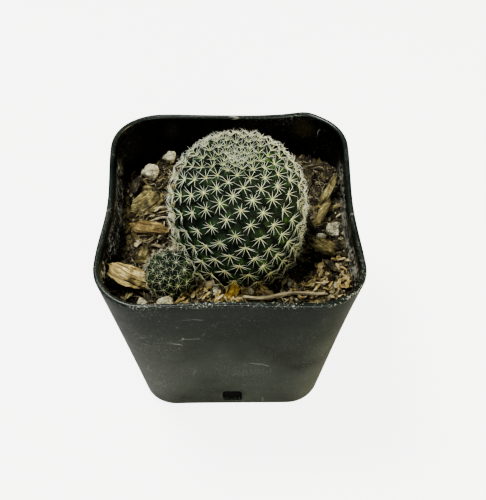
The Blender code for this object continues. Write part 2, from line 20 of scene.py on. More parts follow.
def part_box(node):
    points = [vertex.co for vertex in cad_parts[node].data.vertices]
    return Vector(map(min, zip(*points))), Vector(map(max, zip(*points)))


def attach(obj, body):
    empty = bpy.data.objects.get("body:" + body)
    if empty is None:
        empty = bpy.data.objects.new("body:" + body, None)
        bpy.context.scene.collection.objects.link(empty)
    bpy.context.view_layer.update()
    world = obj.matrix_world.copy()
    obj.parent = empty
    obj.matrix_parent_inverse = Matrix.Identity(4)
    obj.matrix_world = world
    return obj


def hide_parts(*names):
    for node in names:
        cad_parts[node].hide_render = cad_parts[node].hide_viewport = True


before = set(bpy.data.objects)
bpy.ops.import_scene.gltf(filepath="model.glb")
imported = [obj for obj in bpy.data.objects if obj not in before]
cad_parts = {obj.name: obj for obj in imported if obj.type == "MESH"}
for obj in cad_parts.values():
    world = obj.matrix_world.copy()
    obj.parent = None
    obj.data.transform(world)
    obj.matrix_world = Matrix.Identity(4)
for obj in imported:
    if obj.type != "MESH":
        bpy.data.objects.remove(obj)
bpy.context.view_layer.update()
MM = 0.001
print("CAD nodes:", len(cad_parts))

# %% [markdown]
# ## Camera
#
# The camera looks down at the pot from a little over head height of the plant, 53 degrees above the
# horizontal. It is aimed at the middle of the pot, a little below the rim, from 19 cm away, which is
# close enough that the pot's walls draw together towards the base.

# %% Camera
CAMERA_DISTANCE = 190.2 * MM
CAMERA_ELEVATION = math.radians(53.0)
CAMERA_AZIMUTH = math.radians(-0.5)
CAMERA_LENS = 49.6

pot_low, pot_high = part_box("pot")
RIM_HEIGHT = pot_high.z
TARGET = Vector((3.4 * MM, 0.0, RIM_HEIGHT - 21.1 * MM))


def look_from(azimuth, elevation, distance, target):
    """A point `distance` away from the target, azimuth 0 being in front of it."""
    level = math.cos(elevation)
    way = Vector((math.sin(azimuth) * level, -math.cos(azimuth) * level, math.sin(elevation)))
    return target + way * distance


def aim(obj, target):
    obj.rotation_euler = (target - obj.location).to_track_quat("-Z", "Y").to_euler()


camera_data = bpy.data.cameras.new("camera")
camera_data.lens = CAMERA_LENS
camera_data.clip_start = 1.0 * MM
camera = bpy.data.objects.new("camera", camera_data)
bpy.context.scene.collection.objects.link(camera)
camera.location = look_from(CAMERA_AZIMUTH, CAMERA_ELEVATION, CAMERA_DISTANCE, TARGET)
aim(camera, TARGET)
bpy.context.scene.camera = camera
print("camera at", [round(x, 4) for x in camera.location])

# %% [markdown]
# ## Light and floor
#
# A product table: one soft lamp overhead, behind and to the left, so that the crown is bright while the
# foot of the stem and the pot's back wall stay in shadow. A weak one at the front shapes the front wall,
# and a small warm one low at the right puts a thin golden edge on the pot. The floor is one pale sheet.
# It glows for the camera only: a black pot would otherwise mirror it and look grey. The colour look has
# a high contrast, as hard light on dark peat and black plastic gives.

# %% Light and floor
FLOOR_SIZE = 3.0
FLOOR_GLOW = 1.97


def soft_lamp(name, azimuth, elevation, distance, size, power, color):
    """A square area lamp that looks at the middle of the object."""
    data = bpy.data.lights.new(name, "AREA")
    data.shape = "SQUARE"
    data.size = size
    data.energy = power
    data.color = color
    lamp = bpy.data.objects.new(name, data)
    bpy.context.scene.collection.objects.link(lamp)
    lamp.location = look_from(math.radians(azimuth), math.radians(elevation), distance, TARGET)
    aim(lamp, TARGET)
    return lamp


soft_lamp("overhead", azimuth=241, elevation=68, distance=0.50, size=0.18, power=3.2, color=(1.0, 0.98, 0.94))
soft_lamp("front", azimuth=10, elevation=24, distance=0.60, size=0.36, power=2.5, color=(1.0, 1.0, 0.98))
soft_lamp("warm_edge", azimuth=80, elevation=18, distance=0.45, size=0.14, power=1.7, color=(1.0, 0.86, 0.52))
bpy.context.scene.view_settings.look = "AgX - High Contrast"

world = bpy.data.worlds.new("studio")
world.use_nodes = True
world.node_tree.nodes["Background"].inputs["Color"].default_value = (1.0, 1.0, 1.0, 1.0)
AMBIENT = 0.11
world_seen = world.node_tree.nodes.new("ShaderNodeLightPath").outputs["Is Camera Ray"]
world_glow = world.node_tree.nodes.new("ShaderNodeMapRange")
world_glow.inputs["To Min"].default_value = AMBIENT
world_glow.inputs["To Max"].default_value = FLOOR_GLOW + 0.1
world.node_tree.links.new(world_seen, world_glow.inputs["Value"])
world.node_tree.links.new(world_glow.outputs[0], world.node_tree.nodes["Background"].inputs["Strength"])
bpy.context.scene.world = world

floor_mesh = bpy.data.meshes.new("floor")
floor_bm = bmesh.new()
bmesh.ops.create_grid(floor_bm, x_segments=1, y_segments=1, size=0.5 * FLOOR_SIZE)
floor_bm.to_mesh(floor_mesh)
floor_bm.free()
floor = bpy.data.objects.new("floor", floor_mesh)
bpy.context.scene.collection.objects.link(floor)
floor_material = bpy.data.materials.new("floor_paper")
floor_material.use_nodes = True
floor_shader = floor_material.node_tree.nodes["Principled BSDF"]
floor_shader.inputs["Base Color"].default_value = (0.35, 0.35, 0.35, 1.0)
floor_shader.inputs["Roughness"].default_value = 0.9
floor_shader.inputs["Emission Color"].default_value = (1.0, 1.0, 1.0, 1.0)
floor_seen = floor_material.node_tree.nodes.new("ShaderNodeLightPath").outputs["Is Camera Ray"]
floor_glow = floor_material.node_tree.nodes.new("ShaderNodeMath")
floor_glow.operation = "MULTIPLY"
floor_glow.inputs[1].default_value = FLOOR_GLOW
floor_material.node_tree.links.new(floor_seen, floor_glow.inputs[0])
floor_material.node_tree.links.new(floor_glow.outputs[0], floor_shader.inputs["Emission Strength"])
floor_mesh.materials.append(floor_material)
print("floor:", FLOOR_SIZE, "m square")

# %% [markdown]
# ## Shader groups
#
# Natural and worn surfaces vary at several scales at once. Three small groups do that work for all the
# finishes. *Mottle* mixes three colours by cloudy noise. *Fibres* gives lines that run along one axis,
# as in bark and straw. *Specks* gives a mask of small scattered grains, for dust and dried lime. Each
# group is built once, with named sockets, and every material sets its own scale and colours.

# %% Small helpers to build node trees


def add(tree, kind, settings=None, **links):
    """A node with its settings; links are input names (spaces as _) to a socket or a value."""
    node = tree.nodes.new(kind)
    for key, value in (settings or {}).items():
        setattr(node, key, value)
    for key, value in links.items():
        socket = node.inputs[int(key[1:])] if key[0] == "i" and key[1:].isdigit() else None
        socket = socket or node.inputs[key.replace("_", " ")]
        if isinstance(value, bpy.types.NodeSocket):
            tree.links.new(value, socket)
        else:
            socket.default_value = value
    return node


def new_group(name, inputs, outputs):
    """A shader node group with typed, named sockets, and its input and output nodes."""
    tree = bpy.data.node_groups.new(name, "ShaderNodeTree")
    for title, kind, value in inputs:
        socket = tree.interface.new_socket(name=title, in_out="INPUT", socket_type="NodeSocket" + kind)
        if value is not None:
            socket.default_value = value
    for title, kind in outputs:
        tree.interface.new_socket(name=title, in_out="OUTPUT", socket_type="NodeSocket" + kind)
    return tree, tree.nodes.new("NodeGroupInput").outputs, tree.nodes.new("NodeGroupOutput").inputs


def math_node(tree, operation, first, second=0.0, clamp=False):
    settings = {"operation": operation, "use_clamp": clamp}
    return add(tree, "ShaderNodeMath", settings, i0=first, i1=second).outputs[0]


def times(tree, first, second):
    return math_node(tree, "MULTIPLY", first, second)


def plus(tree, first, second, clamp=False):
    return math_node(tree, "ADD", first, second, clamp)


def minus(tree, first, second):
    return math_node(tree, "SUBTRACT", first, second)


def larger(tree, first, second):
    return math_node(tree, "MAXIMUM", first, second)


def vector_math(tree, operation, *vectors):
    sockets = {"i" + str(i): vector for i, vector in enumerate(vectors)}
    return add(tree, "ShaderNodeVectorMath", {"operation": operation}, **sockets).outputs


def spread(tree, value, low, high):
    """0 below `low`, 1 above `high`, and smooth between."""
    settings = {"interpolation_type": "SMOOTHSTEP"}
    return add(tree, "ShaderNodeMapRange", settings, Value=value, From_Min=low, From_Max=high).outputs[0]


def between(tree, value, low, high):
    """A value from 0 to 1, brought to a range from `low` to `high`."""
    return add(tree, "ShaderNodeMapRange", None, Value=value, To_Min=low, To_Max=high).outputs[0]


def coords(tree):
    """The place of each point in the object's own space, which moves and turns with it."""
    return add(tree, "ShaderNodeTexCoord").outputs["Object"]


def part_of(tree, vector, axis):
    return add(tree, "ShaderNodeSeparateXYZ", None, Vector=vector).outputs[axis]


def noise_at(tree, place, scale, detail, roughness=0.5):
    settings = {"Scale": scale, "Detail": detail, "Roughness": roughness}
    return add(tree, "ShaderNodeTexNoise", None, Vector=place, **settings).outputs[0]


def cells_at(tree, place, scale, feature="F1"):
    """The distance to the middles of scattered cells, or to their edges."""
    node = add(tree, "ShaderNodeTexVoronoi", {"feature": feature}, Vector=place, Scale=scale)
    return node.outputs["Distance"]


def mix_color(tree, share, first, second):
    node = add(tree, "ShaderNodeMix", {"data_type": "RGBA"})
    for socket, value in ((node.inputs[0], share), (node.inputs[6], first), (node.inputs[7], second)):
        if isinstance(value, bpy.types.NodeSocket):
            tree.links.new(value, socket)
        else:
            socket.default_value = value
    return node.outputs[2]


helpers = add, new_group, math_node, vector_math, spread, between, coords, noise_at, cells_at, mix_color
print("node helpers:", ", ".join(helper.__name__ for helper in helpers))

# %% The groups themselves
MOTTLE, given, gives = new_group(
    "mottle",
    [
        ("Scale", "Float", 300.0),
        ("Dark", "Color", None),
        ("Middle", "Color", None),
        ("Light", "Color", None),
        ("Balance", "Float", 0.5),
    ],
    [("Color", "Color"), ("Clouds", "Float")],
)
place = coords(MOTTLE)
broad = noise_at(MOTTLE, place, given["Scale"], 6.0, 0.62)
fine = noise_at(MOTTLE, place, times(MOTTLE, given["Scale"], 3.7), 4.0, 0.6)
clouds = minus(MOTTLE, broad, minus(MOTTLE, 0.5, given["Balance"]))
low_half = mix_color(MOTTLE, spread(MOTTLE, clouds, 0.36, 0.54), given["Dark"], given["Middle"])
top_share = times(MOTTLE, spread(MOTTLE, clouds, 0.50, 0.66), spread(MOTTLE, fine, 0.40, 0.60))
MOTTLE.links.new(mix_color(MOTTLE, top_share, low_half, given["Light"]), gives["Color"])
MOTTLE.links.new(clouds, gives["Clouds"])

FIBRES, given, gives = new_group(
    "fibres",
    [("Scale", "Float", 900.0), ("Along", "Vector", (1.0, 0.08, 1.0)), ("Softness", "Float", 0.3)],
    [("Lines", "Float"), ("Cracks", "Float")],
)
grain_place = add(FIBRES, "ShaderNodeTexCoord").outputs["UV"]
stretched = vector_math(FIBRES, "MULTIPLY", grain_place, given["Along"])[0]
settings = {"Scale": given["Scale"], "Detail": 5.0, "Roughness": 0.55, "Distortion": given["Softness"]}
grain = add(FIBRES, "ShaderNodeTexNoise", None, Vector=stretched, **settings)
cracks = noise_at(FIBRES, stretched, times(FIBRES, given["Scale"], 0.45), 3.0)
FIBRES.links.new(grain.outputs[0], gives["Lines"])
FIBRES.links.new(spread(FIBRES, cracks, 0.57, 0.64), gives["Cracks"])

SPECKS, given, gives = new_group(
    "specks",
    [("Scale", "Float", 900.0), ("Amount", "Float", 0.3), ("Patch Scale", "Float", 120.0)],
    [("Mask", "Float")],
)
place = coords(SPECKS)
grains = noise_at(SPECKS, place, given["Scale"], 2.5, 0.7)
patches = noise_at(SPECKS, place, given["Patch Scale"], 3.0, 0.6)
threshold = minus(SPECKS, 0.80, times(SPECKS, given["Amount"], patches))
SPECKS.links.new(spread(SPECKS, minus(SPECKS, grains, threshold), 0.0, 0.05), gives["Mask"])
print("shader groups:", MOTTLE.name, FIBRES.name, SPECKS.name)

# %% Helpers for materials and meshes


def new_material(name):
    """A material with its node tree and its Principled shader."""
    material = bpy.data.materials.new(name)
    material.use_nodes = True
    tree = material.node_tree
    return material, tree, tree.nodes["Principled BSDF"]


def use_group(tree, group, **values):
    node = add(tree, "ShaderNodeGroup", {"node_tree": group}, **values)
    return node.outputs


def mottle(tree, scale, dark, middle, light, balance=0.5):
    colors = {"Dark": (*dark, 1.0), "Middle": (*middle, 1.0), "Light": (*light, 1.0)}
    return use_group(tree, MOTTLE, Scale=scale, Balance=balance, **colors)


def bump(tree, shader, height, distance):
    node = add(tree, "ShaderNodeBump", None, Height=height, Distance=distance)
    tree.links.new(node.outputs[0], shader.inputs["Normal"])


def point_value(tree, name):
    """A number stored on the mesh, such as how far along its spine a point lies."""
    return add(tree, "ShaderNodeAttribute", {"attribute_name": name}).outputs["Fac"]


def as_piece(name, points, faces, material, replaces=(), values=None, smooth=True):
    """A mesh object that rides with the pot, and hides the CAD nodes that it replaces."""
    mesh = bpy.data.meshes.new(name)
    mesh.from_pydata([tuple(p) for p in points], [], [tuple(f) for f in faces])
    mesh.validate()
    for key, numbers in (values or {}).items():
        layer = mesh.attributes.new(key, "FLOAT", "POINT")
        layer.data.foreach_set("value", np.asarray(numbers, np.float32))
    mesh.materials.append(material)
    if smooth:
        mesh.shade_smooth()
    piece = bpy.data.objects.new(name, mesh)
    bpy.context.scene.collection.objects.link(piece)
    return settle(piece, replaces)


def settle(piece, replaces=()):
    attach(piece, "root")
    if replaces:
        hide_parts(*replaces)
    print(piece.name, "faces:", len(piece.data.polygons))
    return piece


print("material slots of the frame:", sorted({m.name for m in bpy.data.materials if m != floor_material}))


# %% [markdown]
# ## The pot
#
# A thin black plastic cup, moulded in one piece: four tapered walls with round corners, sides that bow
# in between the corners at the rim, a small rolled lip, and a drain hole low in each wall. It is lofted
# from one outline that changes with height. Warmed and handled pots are never quite square, so the
# outline also gets a slow wobble that grows towards the free rim.

# %% Pot sizes
BASE_WIDTH = 52.4 * MM
RIM_CORNER = 12.3 * MM
BASE_CORNER = 10.0 * MM
RIM_BOW = 1.0 * MM
WALL = 1.0 * MM
LIP = 1.4 * MM
LIP_HEIGHT = 2.2 * MM
FOOT = 0.8 * MM
FLOOR_TOP = 2.0 * MM
HEEL = 1.8 * MM
FOOT_RING = 4.0 * MM
DRAIN_WIDTH = 5.6 * MM
DRAIN_HEIGHT = 7.4 * MM
DRAIN_SILL = 3.3 * MM
SIDE_STEPS = 24
CORNER_STEPS = 16
RIM_WIDTH = pot_high.x - pot_low.x


def bowed_square(half, radius, bow, fineness=1):
    """Points round a square with round corners, whose sides bow in at their middles."""
    straight = half - radius
    t = np.linspace(-1.0, 1.0, SIDE_STEPS * fineness, endpoint=False)
    side = np.stack([half - bow * 0.5 * (1.0 + np.cos(np.pi * t)), t * straight], axis=1)
    angle = np.linspace(0.0, 0.5 * np.pi, CORNER_STEPS * fineness, endpoint=False)
    corner = straight + radius * np.stack([np.cos(angle), np.sin(angle)], axis=1)
    quarter = np.concatenate([side, corner])
    turned = [quarter]
    for _ in range(3):
        turned.append(np.stack([-turned[-1][:, 1], turned[-1][:, 0]], axis=1))
    return np.concatenate(turned)


def pot_outline(height, inset, fineness=1):
    share = height / RIM_HEIGHT
    half = 0.5 * (BASE_WIDTH + (RIM_WIDTH - BASE_WIDTH) * share) - inset
    radius = BASE_CORNER + (RIM_CORNER - BASE_CORNER) * share - inset
    return bowed_square(half, max(radius, 0.5 * MM), RIM_BOW * share, fineness)


def pot_wobble(points):
    """How a thin wall has crept: slow waves, swellings of the rim, and one low at a corner."""
    x, y, z = points.T
    share = np.clip(z / RIM_HEIGHT, 0.0, 1.0)
    turn = np.arctan2(y, x)
    waves = 0.12 * np.sin(3.0 * turn + 0.6) + 0.10 * np.sin(5.0 * turn + 2.1) + 0.06 * np.sin(9.0 * turn)

    def swelling(bearing, reach):
        return np.exp(-(((turn - math.radians(bearing)) / reach) ** 2))

    rim = 0.9 * swelling(57, 0.09) - 0.35 * swelling(128, 0.14) + 0.80 * swelling(96, 0.40)
    rim += 0.85 * swelling(-41, 0.20) + 0.45 * swelling(-92, 0.45)
    foot = 0.55 * swelling(-138, 0.22)
    return (waves * share**2 + rim * share**4 + foot * (1.0 - share) ** 2) * MM


def ring(height, inset, fineness=1):
    outline = pot_outline(height, inset, fineness)
    points = np.column_stack([outline, np.full(len(outline), height)])
    outward = points * [1.0, 1.0, 0.0]
    outward /= np.linalg.norm(outward, axis=1)[:, None]
    return points + outward * pot_wobble(points)[:, None]


print("pot, mm: rim, base, height", [round(size / MM, 1) for size in (RIM_WIDTH, BASE_WIDTH, RIM_HEIGHT)])

# %% Build the pot
def arc(start, end, count):
    return np.linspace(math.radians(start), math.radians(end), count)


pot_sections = [ring(FOOT, HEEL + FOOT_RING + FOOT), ring(0.0, HEEL + FOOT_RING), ring(0.0, HEEL)]
for angle in arc(15, 90, 6):
    pot_sections.append(ring(HEEL * (1.0 - math.cos(angle)), HEEL * (1.0 - math.sin(angle))))
for height in np.linspace(HEEL, RIM_HEIGHT - 0.5 * LIP, 26)[1:]:
    pot_sections.append(ring(height, 0.0))
for angle in arc(20, 180, 9):
    rise = RIM_HEIGHT - 0.5 * LIP + 0.5 * LIP * math.sin(angle)
    pot_sections.append(ring(rise, 0.5 * LIP * (1.0 - math.cos(angle))))
pot_sections.append(ring(RIM_HEIGHT - LIP_HEIGHT, LIP))
pot_sections.append(ring(RIM_HEIGHT - LIP_HEIGHT - 0.6 * MM, 0.5 * (LIP + WALL)))
for height in np.linspace(RIM_HEIGHT - LIP_HEIGHT - LIP, FLOOR_TOP + HEEL, 22):
    pot_sections.append(ring(height, WALL))
for angle in arc(75, 0, 5):
    inset = WALL + HEEL * (1.0 - math.sin(angle))
    pot_sections.append(ring(FLOOR_TOP + HEEL * (1.0 - math.cos(angle)), inset))
print("pot sections:", len(pot_sections), "of", len(pot_sections[0]), "points each")


def loft(sections, name, material):
    """A closed mesh through rings of equal point count, its first and last capped."""
    count = len(sections[0])
    points = np.concatenate(sections)
    faces = []
    for row in range(len(sections) - 1):
        for i in range(count):
            j = (i + 1) % count
            low, high = row * count, (row + 1) * count
            faces.append((low + i, low + j, high + j, high + i))
    faces.append(tuple(reversed(range(count))))
    faces.append(tuple(range((len(sections) - 1) * count, len(sections) * count)))
    mesh = bpy.data.meshes.new(name)
    mesh.from_pydata([tuple(p) for p in points], [], faces)
    mesh.materials.append(material)
    mesh.shade_smooth()
    obj = bpy.data.objects.new(name, mesh)
    bpy.context.scene.collection.objects.link(obj)
    return obj


def drain_block(turn):
    """A block with round corners where one drain hole goes."""
    bm = bmesh.new()
    bmesh.ops.create_cube(bm, size=1.0)
    reach = 4.0 * MM
    bmesh.ops.scale(bm, vec=(DRAIN_WIDTH, reach, DRAIN_HEIGHT), verts=bm.verts)
    through = [e for e in bm.edges if abs(e.verts[0].co.y - e.verts[1].co.y) > 0.5 * reach]
    bmesh.ops.bevel(bm, geom=through, offset=1.4 * MM, segments=5, profile=0.5, affect="EDGES")
    middle = DRAIN_SILL + 0.5 * DRAIN_HEIGHT
    wall = -0.5 * BASE_WIDTH - 0.1 * MM
    bmesh.ops.translate(bm, vec=(0.0, wall, middle), verts=bm.verts)
    bmesh.ops.rotate(bm, matrix=Matrix.Rotation(turn, 3, "Z"), verts=bm.verts)
    mesh = bpy.data.meshes.new("drain_block")
    bm.to_mesh(mesh)
    bm.free()
    block = bpy.data.objects.new("drain_block", mesh)
    bpy.context.scene.collection.objects.link(block)
    return block


def apply_modifiers(obj):
    """The object's mesh with its modifiers worked in."""
    bpy.context.view_layer.update()
    graph = bpy.context.evaluated_depsgraph_get()
    mesh = bpy.data.meshes.new_from_object(obj.evaluated_get(graph))
    obj.modifiers.clear()
    obj.data = mesh


# %% [markdown]
# ### Black nursery plastic
#
# Recycled polypropylene: near black, satin, never clean. The colour clouds a little, and on the outside
# it clouds paler grey towards the bottom. The inside faces are painted near black, darker than the same
# plastic outside, as painted shade. Fine pale scratches cross the outside, lime has dried in specks on
# the inside just above the soil and along the lip, and the gloss varies with all of that. The lime on
# the left wall is painted brighter than on the right, as painted light.

# %% Where the pot is marked
SOIL_LEVEL = RIM_HEIGHT - 11.0 * MM
STAIN = (20.5 * MM, 30.2 * MM, RIM_HEIGHT - 5.0 * MM)  # an old splash on the back wall
SCRATCH_SWAY = (0.016, 0.016, 0.016)


def scratch_lines(tree, place):
    """Fine pale scratches: the edges of bent cells, in patches."""
    bent = add(tree, "ShaderNodeTexNoise", None, Vector=place, Scale=60.0, Detail=2.0).outputs["Color"]
    swayed = vector_math(tree, "MULTIPLY_ADD", bent, SCRATCH_SWAY, place)["Vector"]
    line = spread(tree, cells_at(tree, swayed, 75.0, "DISTANCE_TO_EDGE"), 0.012, 0.0)
    return times(tree, line, spread(tree, noise_at(tree, place, 110.0, 4.0), 0.55, 0.64))


def lime_above_soil(tree, place, normal_x):
    """Lime left by watering, in a band just above the soil on the two side walls."""
    over_soil = minus(tree, part_of(tree, place, "Z"), SOIL_LEVEL)
    band = spread(tree, over_soil, 9.0 * MM, 4.5 * MM)
    band = times(tree, band, spread(tree, part_of(tree, place, "Y"), 22.0 * MM, 12.0 * MM))
    side_wall = spread(tree, math_node(tree, "ABSOLUTE", normal_x), 0.55, 0.90)
    lime = use_group(tree, SPECKS, Scale=1300.0, Amount=0.57, Patch_Scale=260.0)["Mask"]
    return times(tree, lime, times(tree, band, side_wall))


def specks_on_lip(tree, place):
    """Dried specks along the front of the lip."""
    lip = spread(tree, part_of(tree, place, "Z"), RIM_HEIGHT - 1.6 * MM, RIM_HEIGHT - 0.3 * MM)
    front = spread(tree, part_of(tree, place, "Y"), -10.0 * MM, -26.0 * MM)
    specks = use_group(tree, SPECKS, Scale=2200.0, Amount=0.43, Patch_Scale=70.0)["Mask"]
    return times(tree, specks, times(tree, times(tree, lip, front), 0.6))


print("the soil stands", round(SOIL_LEVEL / MM, 1), "mm above the table")


# %% Pot material
def pot_plastic():
    material, tree, shader = new_material("pot_plastic")
    place = coords(tree)
    normal = add(tree, "ShaderNodeNewGeometry").outputs["Normal"]
    normal_x = part_of(tree, normal, "X")
    outward = vector_math(tree, "NORMALIZE", place)["Vector"]
    facing = vector_math(tree, "DOT_PRODUCT", normal, outward)["Value"]
    inside = spread(tree, facing, 0.0, -0.3)
    lime = times(tree, lime_above_soil(tree, place, normal_x), inside)
    scratches = scratch_lines(tree, place)
    dust = use_group(tree, SPECKS, Scale=2600.0, Amount=0.36, Patch_Scale=60.0)["Mask"]
    marks = larger(tree, lime, specks_on_lip(tree, place))
    marks = larger(tree, marks, times(tree, dust, 0.25))
    marks = larger(tree, marks, times(tree, scratches, 0.6))

    clouds = mottle(tree, 55.0, (0.009, 0.014, 0.011), (0.014, 0.022, 0.018), (0.038, 0.045, 0.038), 0.52)
    # Outside, the colour turns paler grey in clouds towards the bottom.
    low_down = spread(tree, part_of(tree, place, "Z"), RIM_HEIGHT - 4.0 * MM, 18.0 * MM)
    paler_low_clouds = times(tree, low_down, spread(tree, clouds["Clouds"], 0.12, 0.70))
    outer = mix_color(tree, paler_low_clouds, clouds["Color"], (0.070, 0.082, 0.068, 1.0))
    # Painted shade: the inside faces are painted near black, darker than the outside of the same plastic.
    plain = mix_color(tree, inside, outer, (0.0015, 0.0018, 0.0017, 1.0))
    stain_far = vector_math(tree, "DISTANCE", place, STAIN)["Value"]
    stain = times(tree, spread(tree, stain_far, 5.0 * MM, 1.0 * MM), clouds["Clouds"])
    plain = mix_color(tree, stain, plain, (0.060, 0.055, 0.018, 1.0))
    color = mix_color(tree, marks, plain, (0.50, 0.51, 0.45, 1.0))
    # Painted light: lime on the left wall, which faces right, is painted near white, and on the right wall
    # grey.
    painted_lit_side = spread(tree, normal_x, -0.5, 0.5)
    lime_and_painted_light = mix_color(tree, painted_lit_side, (0.36, 0.37, 0.32, 1.0), (0.92, 0.94, 0.86, 1.0))
    tree.links.new(mix_color(tree, lime, color, lime_and_painted_light), shader.inputs["Base Color"])

    fine = noise_at(tree, place, 420.0, 6.0, 0.65)
    gloss = plus(tree, times(tree, fine, 0.22), times(tree, clouds["Clouds"], 0.42))
    roughness = plus(tree, gloss, times(tree, marks, 0.4), clamp=True)
    tree.links.new(roughness, shader.inputs["Roughness"])
    shader.inputs["Specular IOR Level"].default_value = 0.32
    relief = plus(tree, times(tree, fine, 0.4), times(tree, marks, 0.6))
    bump(tree, shader, minus(tree, relief, times(tree, scratches, 0.5)), 0.06 * MM)
    return material


pot_material = pot_plastic()
print("nodes in the pot's material:", len(pot_material.node_tree.nodes))

# %% Put the pot in place
pot = loft(pot_sections, "nursery_pot", pot_material)
blocks = [drain_block(quarter * math.pi / 2) for quarter in range(4)]
for block in blocks:
    cut = pot.modifiers.new(block.name, "BOOLEAN")
    cut.object = block
    cut.solver = "MANIFOLD"
apply_modifiers(pot)
for block in blocks:
    bpy.data.objects.remove(block)
settle(pot, ["pot"])

# %% [markdown]
# ## Repeated small shapes
#
# A cactus and its litter are thousands of small things: spines, hairs, crumbs, splinters. One modifier
# or object for each would be slow, so two functions make them all at once as arrays. *Sweep* draws a
# section along a line, and makes spines, fibres and splinters of wood. *Copies* places one small
# closed lump many times, each with its own dents, and makes wool and crumbs.

# %% Sweep and copies
SEED = 7
dice = np.random.default_rng(SEED)


def unit(vectors):
    return vectors / np.maximum(np.linalg.norm(vectors, axis=-1, keepdims=True), 1e-12)


def sweep(lines, across, width, thickness, sides):
    """Closed rods along lines of shape (rods, steps, 3), with half widths and thicknesses per step."""
    tangent = unit(np.gradient(lines, axis=1))
    side = across[:, None, :] - tangent * np.sum(across[:, None, :] * tangent, axis=-1, keepdims=True)
    side = unit(side)
    up = np.cross(tangent, side)
    angle = 2.0 * np.pi * np.arange(sides) / sides
    out = side[:, :, None, :] * (width[:, :, None] * np.cos(angle))[..., None]
    out = out + up[:, :, None, :] * (thickness[:, :, None] * np.sin(angle))[..., None]
    points = lines[:, :, None, :] + out
    rods, steps = lines.shape[:2]
    index = np.arange(rods * steps * sides).reshape(rods, steps, sides)
    turned = np.roll(index, -1, axis=2)
    walls = np.stack([index[:, :-1], turned[:, :-1], turned[:, 1:], index[:, 1:]], axis=-1)
    faces = walls.reshape(-1, 4).tolist()
    faces += index[:, 0, ::-1].tolist()
    faces += index[:, -1].tolist()
    return points, faces


def lump(fineness):
    """The points and faces of a small closed ball of triangles."""
    bm = bmesh.new()
    bmesh.ops.create_icosphere(bm, subdivisions=fineness, radius=1.0)
    points = np.array([v.co[:] for v in bm.verts])
    faces = np.array([[v.index for v in f.verts] for f in bm.faces])
    bm.free()
    return points, faces


def copies(shape, places, axes, sizes, dents):
    """The lump at each place, turned to its axes (3 rows), scaled, with random dents."""
    points, faces = shape
    count = len(places)
    dented = points[None] * (1.0 + dents * dice.normal(size=(count, len(points), 1)))
    scaled = dented * sizes[:, None, :]
    world = np.einsum("nij,njk->nik", scaled, axes) + places[:, None, :]
    shifted = faces[None] + (np.arange(count) * len(points))[:, None, None]
    return world, shifted.reshape(-1, 3).tolist()


def perlin(points, scale, shift=0.0):
    """Smooth noise at each point, from about -0.8 to 0.8."""
    moved = np.asarray(points).reshape(-1, 3) * scale + shift
    return np.array([noise.noise(Vector(p)) for p in moved])


print("points of a crumb:", len(lump(1)[0]), "and of a tuft of wool:", len(lump(2)[0]))

# %% [markdown]
# ## The two stems
#
# The green body is a ball, a little taller than wide, with a sunken crown. Its surface is a close
# spiral of low cones, the tubercles. They grow one after another from the crown, each turned by the
# golden angle from the last, so their rows run as two sets of spirals. Each one carries a tuft of wool,
# the areole, and a star of spines. So the areoles are placed first, and everything is measured from
# them: a point of the skin is high near its own areole, and low halfway to the next one.

# %% The spiral of areoles
GOLDEN_ANGLE = math.pi * (3.0 - math.sqrt(5.0))
CROWN_SPREAD = math.radians(85)
UPPER_FULLNESS = 2.4
LOWER_FULLNESS = 3.3


class Stem:
    """The smooth form of one stem: a ball with a full lower half, leaning from the vertical."""

    def __init__(self, centre, radius, rise, sink, dimple_depth, dimple_radius, lean, lean_bearing):
        self.centre = np.array(centre)
        self.sizes = radius, rise, sink, dimple_depth, dimple_radius
        axis = Vector((-math.sin(lean_bearing), math.cos(lean_bearing), 0.0))
        self.turn = np.array(Matrix.Rotation(lean, 3, axis))

    def skin(self, theta, phi):
        """The surface at an angle `theta` from the crown and `phi` round the axis."""
        theta, phi = np.broadcast_arrays(np.asarray(theta, float), np.asarray(phi, float))
        radius, rise, sink, dimple_depth, dimple_radius = self.sizes
        upper = theta < 0.5 * np.pi
        power = np.where(upper, 2.0 / UPPER_FULLNESS, 2.0 / LOWER_FULLNESS)
        side = radius * np.abs(np.sin(theta)) ** power
        level = np.abs(np.cos(theta)) ** power
        crown = rise * level - dimple_depth * np.exp(-((side / dimple_radius) ** 2))
        height = np.where(upper, crown, -sink * level)
        local = np.stack([side * np.cos(phi), side * np.sin(phi), height], axis=-1)
        return local @ self.turn.T + self.centre

    def frame_at(self, theta, phi):
        """Outward, down-the-slope and sideways directions at a point of the surface."""
        step = 0.01
        down = unit(self.skin(theta + step, phi) - self.skin(theta - step, phi))
        around = unit(self.skin(theta, phi + step) - self.skin(theta, phi - step))
        return unit(np.cross(down, around)), down, around

    def areoles(self, spacing, crown_spacing, last_theta):
        """Angles of the areoles, closer together at the crown, a golden angle apart."""
        bands = np.linspace(0.0, math.pi, 401)
        rings = self.skin(bands, 0.0)
        middle = self.skin(0.5 * (bands[1:] + bands[:-1]), 0.0)
        axis = self.turn[:, 2]
        off_axis = middle - self.centre
        off_axis = off_axis - np.outer(off_axis @ axis, axis)
        area = 2.0 * np.pi * np.linalg.norm(off_axis, axis=1) * np.linalg.norm(np.diff(rings, axis=0), axis=1)
        places, grown = [], 0.0
        for theta, patch in zip(bands[1:], area):
            gap = crown_spacing + (spacing - crown_spacing) * min(1.0, 0.15 + theta / CROWN_SPREAD)
            grown += patch / (gap**2 * math.sqrt(3.0) / 2.0)
            while grown > 1.0 and theta < last_theta:
                grown -= 1.0
                places.append((theta, GOLDEN_ANGLE * (len(places) + 1)))
        return np.array(places)


